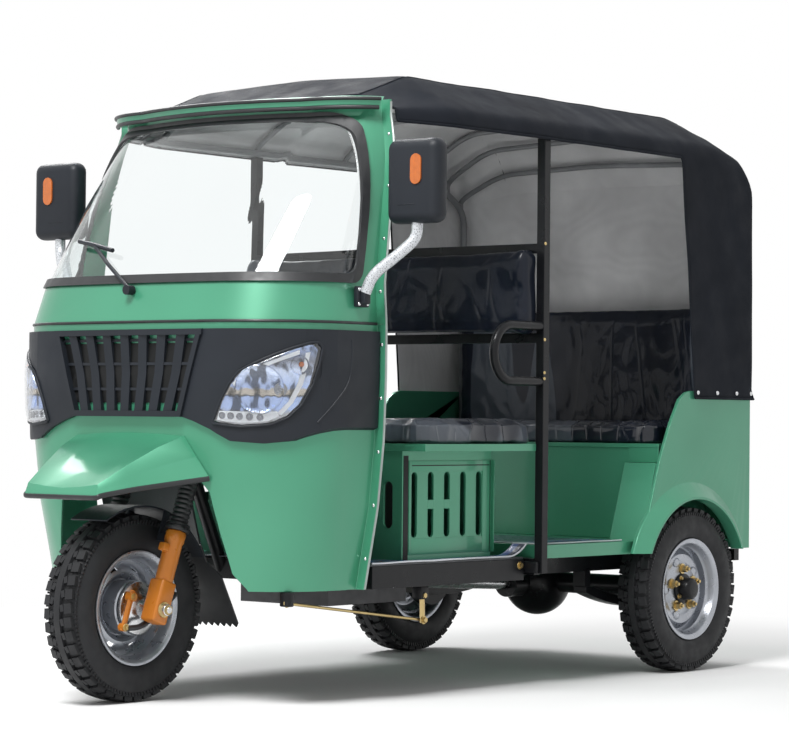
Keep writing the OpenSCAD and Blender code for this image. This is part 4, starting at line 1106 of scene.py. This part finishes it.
def cab_trim():
    """Dark waist strip, and bright flange edging with its rivets."""
    bm = bmesh.new()
    swept(bm, cab_line(1.1005, 0.0005, 0.436), 0.0042, 8)
    piece("waist_strip", bm, "body", "seal_rubber")
    bm = bmesh.new()
    heights = [0.332 + 1.425 * k / 40 for k in range(41)]
    swept(bm, [flange_at(z, -0.0005) + Vector((0, 0.004, 0)) for z in heights], 0.0042, 8, 0.8)
    both_sides("flange_edging", bm, edge_steel, slot="bare_steel")
    bm = bmesh.new()
    for k in range(9):
        z = 0.42 + 0.155 * k
        dome_head(bm, flange_at(z, 0.013), (0, -1, 0), 0.0055)
    both_sides("flange_rivets", bm, "bare_steel")


def fascia_crease():
    """Crescent fold pressed into the fascia behind each lamp."""
    proud = 0.0138
    fold = [corner_at(z, turn, proud) for turn, z in (
        (1.590, 1.052), (1.599, 1.036), (1.594, 0.967), (1.567, 0.936), (1.501, 0.907), (1.347, 0.861),
        (1.177, 0.813))]
    bm = bmesh.new()
    swept(bm, eased(fold, 0.02, 4), 0.0034, 8, 0.7)
    both_sides("fascia_creases", bm, "black_plastic")


FENDER_TIP, FENDER_ROOT, FENDER_FLARE = -1.331, -1.047, 0.045


def flared(p):
    """The nose fender's sides flare out below their crease, more and more towards the rear."""
    back = (p.y - FENDER_TIP) / (FENDER_ROOT - FENDER_TIP)
    crease, low = 0.634 + 0.138 * back, 0.606 + 0.049 * back
    down = min(1.0, max(0.0, (crease - p.z) / (crease - low)))
    out = FENDER_FLARE * max(0.0, back) * down * min(1.0, abs(p.x) / 0.1)
    return Vector((p.x + (out if p.x > 0 else -out), p.y, p.z))


def nose_fender():
    """The flared nose fender and its rubber bead, from one rear corner round the front to the other."""
    for v in softened("nose_fender").data.vertices:
        v.co = flared(v.co)

    def corner(x, z):
        near = min(nodes["nose_fender"].data.vertices, key=lambda v: (v.co.x - x) ** 2 + (v.co.z - z) ** 2)
        return flared(near.co)

    drop = Vector((0, 0, -0.004))
    left = [corner(x, z) + drop for x, z in mm("258 655, 216 640, 178 624, 150 606, 146 600")]
    bm = bmesh.new()
    swept(bm, eased(left + reflected(left), 0.02, 4), 0.0075, 10, 0.6)
    piece("fender_edge", bm, "body", "seal_rubber")


grille()
headlamps()
cab_trim()
fascia_crease()
nose_fender()

# mirrors

MIRROR = at(0.729, 0.435, 1.508)


def mirrors():
    """Rounded heads with an amber reflector, on arms still wearing their net sleeves."""
    wide, deep, high = 0.190, 0.070, 0.244
    half = Vector((wide, deep, high)) / 2
    bm = bmesh.new()
    block(bm, MIRROR - half, MIRROR + half, 0.030, 6)
    low = MIRROR.z - high * 0.28
    block(bm, (MIRROR.x - 0.045, MIRROR.y - deep / 2 - 0.0012, low - 0.0015),
          (MIRROR.x + 0.015, MIRROR.y - deep / 2 + 0.004, low + 0.0015), 0.001, 1)
    foot = at(0.590, 0.361, 1.176)
    block(bm, foot + Vector((-0.0135, -0.026, -0.030)), foot + Vector((0.004, 0.026, 0.030)), 0.004, 2)
    block(bm, foot + Vector((-0.002, -0.014, -0.022)), foot + Vector((0.020, 0.014, 0.022)), 0.005, 2)
    swept(bm, [MIRROR + Vector((0, 0, -0.150)), MIRROR + Vector((0, 0, -0.110))], 0.010, 12)
    both_sides("mirror_heads", bm, "black_plastic", replaces=["mirrors"])
    bm = bmesh.new()
    pane = Vector((0.078, half.y - 0.0005, 0.105))
    block(bm, MIRROR + Vector((-pane.x, half.y - 0.004, -pane.z)), MIRROR + pane, 0.0016, 2)
    both_sides("mirror_glasses", bm, mirror_glass, slot="glass")
    bm = bmesh.new()
    spot = MIRROR + Vector((0.022, -half.y, 0.032))
    turn = facing(spot, (0, -1, 0))
    for v in bmesh.ops.create_circle(bm, cap_ends=True, segments=32, radius=0.0195, matrix=turn)["verts"]:
        v.co.z += 0.024 if v.co.z > spot.z else -0.024
    lens = bmesh.ops.extrude_face_region(bm, geom=bm.faces[:])["geom"]
    rim = [g for g in lens if isinstance(g, bmesh.types.BMVert)]
    bmesh.ops.translate(bm, vec=(0, -0.0042, 0), verts=rim)
    both_sides("mirror_reflectors", bm, amber, slot="lamp_lens")
    bm = bmesh.new()
    path = [foot + Vector((0.010, 0, 0.012)), foot + Vector((0.030, 0.006, 0.062)), at(0.689, 0.405, 1.300),
            at(0.729, 0.435, 1.345), at(0.729, 0.435, 1.392)]
    swept(bm, eased(path, 0.04, 8), 0.0165, 20)
    both_sides("mirror_arms", bm, sleeve, slot="bare_steel")
    bm = bmesh.new()
    for y in (-0.019, 0.019):
        for z in (-0.021, 0.021):
            dome_head(bm, foot + Vector((0.004, y, z)), (1, 0, 0), 0.0055)
    both_sides("mirror_bolts", bm, "bare_steel")


mirrors()


# canvas hood

HOOD_Z, HOOD_LOW, HOOD_FOOT_X = 1.881, 0.905, 0.6334
# station, drop of crown, crease x, drop of crease, edge x, edge z, low x, low z, in millimetres
HOOD = ((555, 90, 400, 92, 546, 1740, 556, 1702), (755, 1, 418, 15, 606, 1750, 614, 1700),
        (1223, 0, 424, 16, 618, 1752, 627, 1700), (2148, 1, 424, 20, 620, 1750, 630, 1698),
        (2248, 19, 424, 36, 620, 1738, 631, 1690), (2318, 59, 424, 74, 620, 1712, 632, 1680),
        (2368, 126, 424, 136, 620, 1672, 633, 1650), (2398, 226, 424, 231, 620, 1610, 634, 1590))
HOOPS = (0.555, 0.755, 1.223, 1.682, 2.140, 2.262, 2.343, 2.398)
DOOR_S, DOOR_LEAN = 1.960, 0.076


def hood(s, column):
    """One measure of the hood at a station."""
    return table_at(HOOD, s, column)


def hood_side(s, t):
    """Half section of the hood: t runs 0 crown, 1 crease, 2 edge, 3 door line, 4 foot."""
    marks = ((0.0, HOOD_Z - hood(s, 1)), (hood(s, 2), HOOD_Z - hood(s, 3)), (hood(s, 4), hood(s, 5)),
             (hood(s, 6), hood(s, 7)), (HOOD_FOOT_X, HOOD_LOW))
    k = min(int(t), 3)
    (x0, z0), (x1, z1) = marks[k], marks[k + 1]
    f = t - k
    station = s
    if t > 3 and s >= DOOR_S:
        front = DOOR_S + DOOR_LEAN * f
        station = front + (s - DOOR_S) * (HOOPS[-1] - front) / (HOOPS[-1] - DOOR_S)
    return at(x0 + (x1 - x0) * f, station, z0 + (z1 - z0) * f)


def crease_depth(p, s, t):
    """How far the cloth stands off its frame: sag between hoops, rear corner gathers, folds in the walls."""
    gaps = list(zip(HOOPS, HOOPS[1:]))
    a, b = next((a, b) for a, b in gaps if s <= b + 1e-6)
    sag = -0.007 * sin(pi * (s - a) / (b - a)) ** 2 * min(1.0, (b - a) / 0.4) * max(0.0, 1 - abs(p.x) / 0.5)
    long_fold = noise.noise(Vector((p.x * 2.0, p.y * 7.0, p.z * 1.1)))
    fine = noise.noise(Vector((p.x * 9, p.y * 16, p.z * 6)))
    corner = max(0.0, min(1.0, (s - 2.0) / 0.2)) * max(0.0, 1 - abs(t - 1.9) / 1.3)
    gather = corner * 0.006 * noise.noise(Vector((p.x * 14, p.y * 11, p.z * 14)))
    wall = max(0.0, min(1.0, t - 2.6))
    slant = noise.noise(Vector((0.3, (p.y + 0.35 * p.z) * 11, (p.z - 0.2 * p.y) * 1.6)))
    hanging = wall * (0.0045 * slant + 0.002 * long_fold)
    return sag + 0.0012 * fine + gather + hanging + (1 - wall) * 0.002 * long_fold


def canvas_hood():
    """One sheet from door line to door line over the hoops, with the rear walls and the back."""
    stations = [0.555 + 0.0155 * k for k in range(91)]
    stations = [s for s in stations if s < DOOR_S - 0.008] + [DOOR_S + 0.438 * k / 34 for k in range(35)]
    half = [k / 22 for k in range(22)] + [1 + k / 12 for k in range(12)] + [2 + k / 4 for k in range(4)]
    half += [3 + k / 44 for k in range(45)]
    across = [-t for t in reversed(half[1:])] + half
    bm, ordered = grid_sheet(len(across), len(stations))
    grid = {}
    for k, v in enumerate(ordered):
        row, column = divmod(k, len(across))
        s, t = stations[row], across[column]
        p = hood_side(s, abs(t))
        v.co = (p.x if t >= 0 else -p.x, p.y, p.z)
        grid[row, column] = v
    door_row = stations.index(DOOR_S)
    gone = [v for (row, column), v in grid.items() if row < door_row and abs(across[column]) > 3]
    bmesh.ops.delete(bm, geom=gone, context="VERTS")
    kept = {key: v for key, v in grid.items() if v.is_valid}
    last = len(stations) - 1
    zero = across.index(0)
    columns = 60
    back = [[kept[last, zero]] * (columns + 1)]
    for k in range(1, len(half)):
        left, right = kept[last, zero + k], kept[last, zero - k]
        inner = [bm.verts.new(left.co.lerp(right.co, j / columns)) for j in range(1, columns)]
        back.append([left, *inner, right])
        for j in range(columns):
            corners = dict.fromkeys((back[k - 1][j], back[k][j], back[k][j + 1], back[k - 1][j + 1]))
            bm.faces.new(corners)
    bmesh.ops.recalc_face_normals(bm, faces=bm.faces)
    inside = [v for v in bm.verts if not v.is_boundary]
    for _ in range(5):
        bmesh.ops.smooth_vert(bm, verts=inside, factor=0.5, use_axis_x=True, use_axis_y=True, use_axis_z=True)
    bm.normal_update()
    place = {v: key for key, v in kept.items()}
    moves = {}
    for v in bm.verts:
        row, column = place.get(v, (last, None))
        t = abs(across[column]) if column is not None else 4
        flip = 1 if v.normal.dot(v.co - at(0, 1.4, 1.2)) > 0 else -1
        moves[v] = v.normal * flip * (crease_depth(v.co, stations[row], t) - 0.001)
    for v, move in moves.items():
        v.co += move

    def run(keys):
        return [kept[key].co.copy() for key in keys]

    crease, door, foot = half.index(1), half.index(3), len(half) - 1
    hem_lines, seam_lines = [], []
    for way in (1, -1):
        down = [(door_row, zero + way * k) for k in range(door + 1, len(half))]
        hem_lines.append(run([(row, zero + way * door) for row in range(door_row + 1)] + down))
    for way in (1, -1):
        hem_lines.append(run((row, zero + way * foot) for row in range(door_row, last + 1)))
        seam_lines.append(run((row, zero + way * crease) for row in range(last + 1)))
    for way in (1, -1):
        seam_lines.append(run((last, zero + way * k) for k in range(crease, len(half))))
    hem_lines.append([v.co.copy() for v in back[-1]])
    hem_lines.append(run((0, column) for column in range(zero - door, zero + door + 1)))
    made = placed("canvas_hood", bm, "body", "canvas", replaces=["canopy"], sharp=60, more=[lining])
    cloth = made.modifiers.new("cloth", "SOLIDIFY")
    cloth.thickness, cloth.offset, cloth.material_offset = 0.0025, -1, 1
    bm = bmesh.new()
    for lines, radius, sides, flat in ((hem_lines, 0.0042, 8, 0.7), (seam_lines, 0.0022, 6, 0.8)):
        for line in lines:
            swept(bm, line[::2] + line[-1:], radius, sides, flat)
    hems = piece("hood_hems", bm, "body", "canvas")
    bm = bmesh.new()
    for way in (1, -1):
        for s in (2.052, 2.170, 2.290, 2.380):
            dome_head(bm, at(way * (HOOD_FOOT_X + 0.001), s, HOOD_LOW + 0.018), (way, 0, 0), 0.0075)
    for k in range(-3, 4):
        dome_head(bm, at(k * 0.18, 2.3985, HOOD_LOW + 0.018), (0, 1, 0), 0.0075)
    piece("hood_studs", bm, "body", "bare_steel")
    return made, hems


def hood_frame():
    """Side rails, rear posts and slim hoops of dull grey tube under the canvas."""
    rail = [(0.533, 0.541, 1.714), (0.588, 0.755, 1.714), (0.598, 1.223, 1.716), (0.598, 2.150, 1.712),
            (0.598, 2.362, 1.590), (0.598, 2.362, 0.7535)]
    bm = bmesh.new()
    swept(bm, eased([at(*p) for p in rail], 0.06, 6), 0.012, 14)
    both_sides("hood_rails", bm, hoop_grey, slot="black_steel", replaces=["canopy_frame"])
    hoop_r, seat = 0.0095, 0.0138
    bm = bmesh.new()
    for s, slack in ((0.755, 0.003), (1.223, 0), (1.682, 0), (2.140, 0), (2.262, 0.026), (2.343, 0.046)):
        drop = seat + slack
        foot_z = 1.714 if s < 2.150 else 1.712 - 0.122 * (s - 2.150) / 0.212
        left = [at(0.588 if s < 1 else 0.598, s, foot_z), at(hood(s, 4) - 0.021, s, hood(s, 5) - drop + 0.002),
                at(hood(s, 2) - 0.010, s, HOOD_Z - hood(s, 3) - drop - 0.001),
                at(0, s, HOOD_Z - hood(s, 1) - drop)]
        swept(bm, eased(left + reflected(left[:-1]), 0.07, 6), hoop_r, 12)
    piece("hood_hoops", bm, "body", hoop_grey, slot="black_steel")


hood_cloth, hood_hems = canvas_hood()
hood_frame()

# floors and fittings


def mat_sheet(name, xs, stations, height, hole, edge):
    """A thin vinyl mat laid on a floor, cut out round what stands there, with a pale sewn edge."""
    bm, ordered = grid_sheet(len(xs), len(stations))
    for v, (s, x) in zip(ordered, ((s, x) for s in stations for x in xs)):
        v.co = at(x, s, height(x, s))
    gone = [f for f in bm.faces if hole(f.calc_center_median())]
    bmesh.ops.delete(bm, geom=gone, context="FACES")
    bmesh.ops.recalc_face_normals(bm, faces=bm.faces)
    if sum(f.normal.z for f in bm.faces) < 0:
        bmesh.ops.reverse_faces(bm, faces=bm.faces)
    mat = placed(name, bm, "body", mat_print, sharp=60)
    vinyl = mat.modifiers.new("vinyl", "SOLIDIFY")
    vinyl.thickness, vinyl.offset = 0.002, 1
    bm = bmesh.new()
    swept(bm, [at(x, s, height(x, s) + 0.0012) for x, s in edge], 0.0026, 8)
    edging = both_sides(f"{name}_edging", bm, mat_edge, slot="floor_grey")


def floor_mats():
    """The cab mat runs past both sides of the seat box and curls up behind it; the other lies at the rear."""
    side, inner, front, box_front, tail = 0.556, 0.5035, 0.456, 0.646, 1.206

    def under_box(p):
        return abs(p.x) < inner and p.y - front_hub.y > box_front

    def cab_lie(x, s):
        curl = max(0.0, s - 1.115) ** 2 * 4.4
        return 0.4030 + curl + 0.0012 * (1 + noise.noise(Vector((x * 5, s * 9, 0))))

    def rear_lie(x, s):
        return 0.4388 + 0.0012 * (1 + noise.noise(Vector((x * 4, s * 7, 3))))

    xs = [inner + (side - inner) * k / 5 for k in range(6)]
    xs = [-x for x in reversed(xs)] + [inner * k / 12 for k in range(-11, 12)] + xs
    rows = [front + (box_front - front) * k / 8 for k in range(9)]
    rows += [box_front + (tail - box_front) * k / 36 for k in range(1, 37)]
    outer = [(side, s) for s in rows] + [(x, tail) for x in (0.545, 0.525, inner)]
    mat_sheet("cab_mat", xs, rows, cab_lie, under_box, outer)
    side, front, deep = 0.585, 1.248, 0.435
    xs = [side * k / 20 for k in range(-20, 21)]
    rows = [front + deep * k / 16 for k in range(17)]
    outer = [(x, front) for x in xs[20:]] + [(side, s) for s in rows[1:]]
    mat_sheet("rear_mat", xs, rows, rear_lie, lambda p: False, outer)


def seat_box_door():
    """Raised door frame with its slot bridges, and painted shade on both sides: near-black strips for its top
    groove and the gaps beside it.
    """
    face, low, high = 0.500, 0.420, 0.702
    bm = bmesh.new()
    stile, rail = 0.0025, 0.0022
    for a, b, c, d, out in ((0.690, 0.7015, low, high, stile), (1.0495, 1.0955, low, high, stile),
                            (0.700, 1.0510, 0.6690, high - 0.0005, rail),
                            (0.700, 1.0510, low + 0.0005, 0.4685, rail)):
        block(bm, at(face - 0.001, a, c), at(face + out, b, d), 0.0008, 2)
    for s in (0.797, 0.876):
        block(bm, at(face - 0.006, s - 0.0145, 0.556), at(face + 0.0004, s + 0.0145, 0.584), 0.001, 1)
    block(bm, at(face - 0.001, 1.0925, low), at(face + 0.014, 1.0955, high), 0.001, 1)
    both_sides("seat_box_doors", bm, "body_green")
    # painted shade: near-black strips laid where the door's gaps and top groove lie in shade
    bm = bmesh.new()
    block(bm, at(face - 0.001, 0.6655, 0.4035), at(face + 0.0012, 0.6875, 0.7165))
    block(bm, at(face + 0.001, 0.703, 0.6855), at(face + 0.0030, 1.083, 0.6885))
    block(bm, at(face + 0.001, 1.086, low), at(face + 0.0030, 1.0885, high))
    both_sides("seat_box_gap_shade", bm, painted_shade_black, slot="seal_rubber")


def fittings():
    """Pillar bolts, sill brackets, the brake rod under the floor and the lenses of the tail lamps."""
    bm = bmesh.new()
    for z in (1.374, 1.076, 0.9735, 0.955):
        dome_head(bm, at(0.6148, 1.214, z), (1, 0, 0), 0.0055)
    hex_nut(bm, at(0.5600, 1.168, 0.376), (1, 0, 0), 0.0085, 0.009)
    both_sides("pillar_bolts", bm, gold_zinc, slot="bare_steel")
    bm = bmesh.new()
    block(bm, at(0.540, 1.1905, 0.354), at(0.606, 1.2075, 0.388), 0.004, 2)
    block(bm, at(0.452, 0.168, 0.288), at(0.488, 0.192, 0.330), 0.004, 2)
    block(bm, at(0.452, 0.770, 0.284), at(0.488, 0.808, 0.332), 0.004, 2)
    both_sides("sill_brackets", bm, "black_steel")
    bm = bmesh.new()
    swept(bm, [at(0.470, 0.177, 0.298), at(0.470, 0.790, 0.222)], 0.0045, 10)
    swept(bm, [at(0.478, 0.787, 0.304), at(0.478, 0.790, 0.214)], 0.011, 12, 0.5)
    for s, z in ((0.180, 0.298), (0.787, 0.296), (0.790, 0.222)):
        hex_nut(bm, at(0.470 if s < 0.5 else 0.482, s, z), (1, 0, 0), 0.0085, 0.010)
    piece("brake_rod", bm, "body", gold_zinc, slot="bare_steel")
    bm = bmesh.new()
    block(bm, at(0.445, 2.3905, 0.605), at(0.555, 2.3985, 0.775), 0.0035, 2)
    both_sides("tail_lamp_bases", bm, "black_plastic", replaces=["tail_lamps"])
    for name, low, high, lens in (("tail_lamp_reds", 0.693, 0.768, "lamp_red"),
                                  ("tail_lamp_ambers", 0.612, 0.687, amber)):
        bm = bmesh.new()
        block(bm, at(0.452, 2.397, low), at(0.548, 2.4115, high), 0.006, 3)
        both_sides(name, bm, lens, slot="lamp_red")


def bench_ends():
    """Green plates that close the bench front above the wheel boxes."""
    bm = bmesh.new()
    block(bm, at(0.4865, 1.8640, 0.6905), at(0.6040, 1.8680, 0.7465), 0.001, 1)
    both_sides("bench_ends", bm, "body_green")


floor_mats()
bench_ends()
seat_box_door()
fittings()

# seats


def swelled(node, cap, finish, wider, longer):
    """A cushion blown up inside its cover: the CAD pad drawn in a little, then cloth under pressure."""
    inset, voxel, pressure, moments = 0.005, 0.008, 4, 20
    crumple_from = 0.62
    lo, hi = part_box(node)
    size, mid = hi - lo, (lo + hi) / 2
    bm = bmesh.new()
    bm.from_mesh(nodes[node].data)
    bmesh.ops.remove_doubles(bm, verts=bm.verts, dist=1e-5)
    shrink = Vector([(d - 2 * off) / d for d, off in zip(size, (inset - wider, inset - longer, inset))])
    bmesh.ops.scale(bm, vec=shrink, space=Matrix.Translation(-mid), verts=bm.verts)
    bmesh.ops.translate(bm, vec=(0, longer, 0), verts=bm.verts)
    made = placed(f"{node}_cover", bm, body_of(node), finish, replaces=[node], sharp=80)
    grid = made.modifiers.new("grid", "REMESH")
    grid.mode, grid.voxel_size = "VOXEL", voxel
    apply_modifiers(made)
    rest = [v.co.copy() for v in made.data.vertices]
    cloth = made.modifiers.new("swell", "CLOTH")
    cloth.settings.use_pressure = True
    cloth.settings.uniform_pressure_force = pressure
    cloth.settings.effector_weights.gravity = 0
    for moment in range(1, moments + 1):
        scene.frame_set(moment)
    apply_modifiers(made)
    scene.frame_set(1)
    for v, start in zip(made.data.vertices, rest):
        move = v.co - start
        if move.length > cap:
            move *= cap / move.length
        v.co = start + move
    shape = [(v.co.copy(), v.normal.copy()) for v in made.data.vertices]
    for v, (p, out) in zip(made.data.vertices, shape):
        end = max(0.0, abs(p.x) / hi.x - crumple_from) / (1 - crumple_from)
        fold = 1 - abs(noise.noise(Vector((p.x * 13, p.y * 9, p.z * 9)))) * 2.4
        v.co = p + out * (0.0016 + 0.0060 * end) * fold
        v.co.z = max(v.co.z, lo.z)
    return made


def apply_modifiers(made):
    """Keeps the shape that a piece's modifiers give it now."""
    depsgraph = bpy.context.evaluated_depsgraph_get()
    finish = list(made.data.materials)
    shape = bpy.data.meshes.new_from_object(made.evaluated_get(depsgraph))
    made.modifiers.clear()
    made.data = shape
    shape.materials.clear()
    for material in finish:
        shape.materials.append(material)
    shape.shade_smooth()


covers = [swelled(*cushion) for cushion in (
    ("driver_cushion", 0.016, loose_film_painted_highlight, 0, 0.015), ("driver_backrest", 0.014, "seat_vinyl", 0.036, 0),
    ("rear_cushion", 0.016, loose_film_painted_highlight, 0, 0), ("rear_backrest", 0.016, "seat_vinyl", 0, 0))]
for cover in covers:
    smooth = cover.modifiers.new("smooth", "SUBSURF")
    smooth.levels = smooth.render_levels = 1
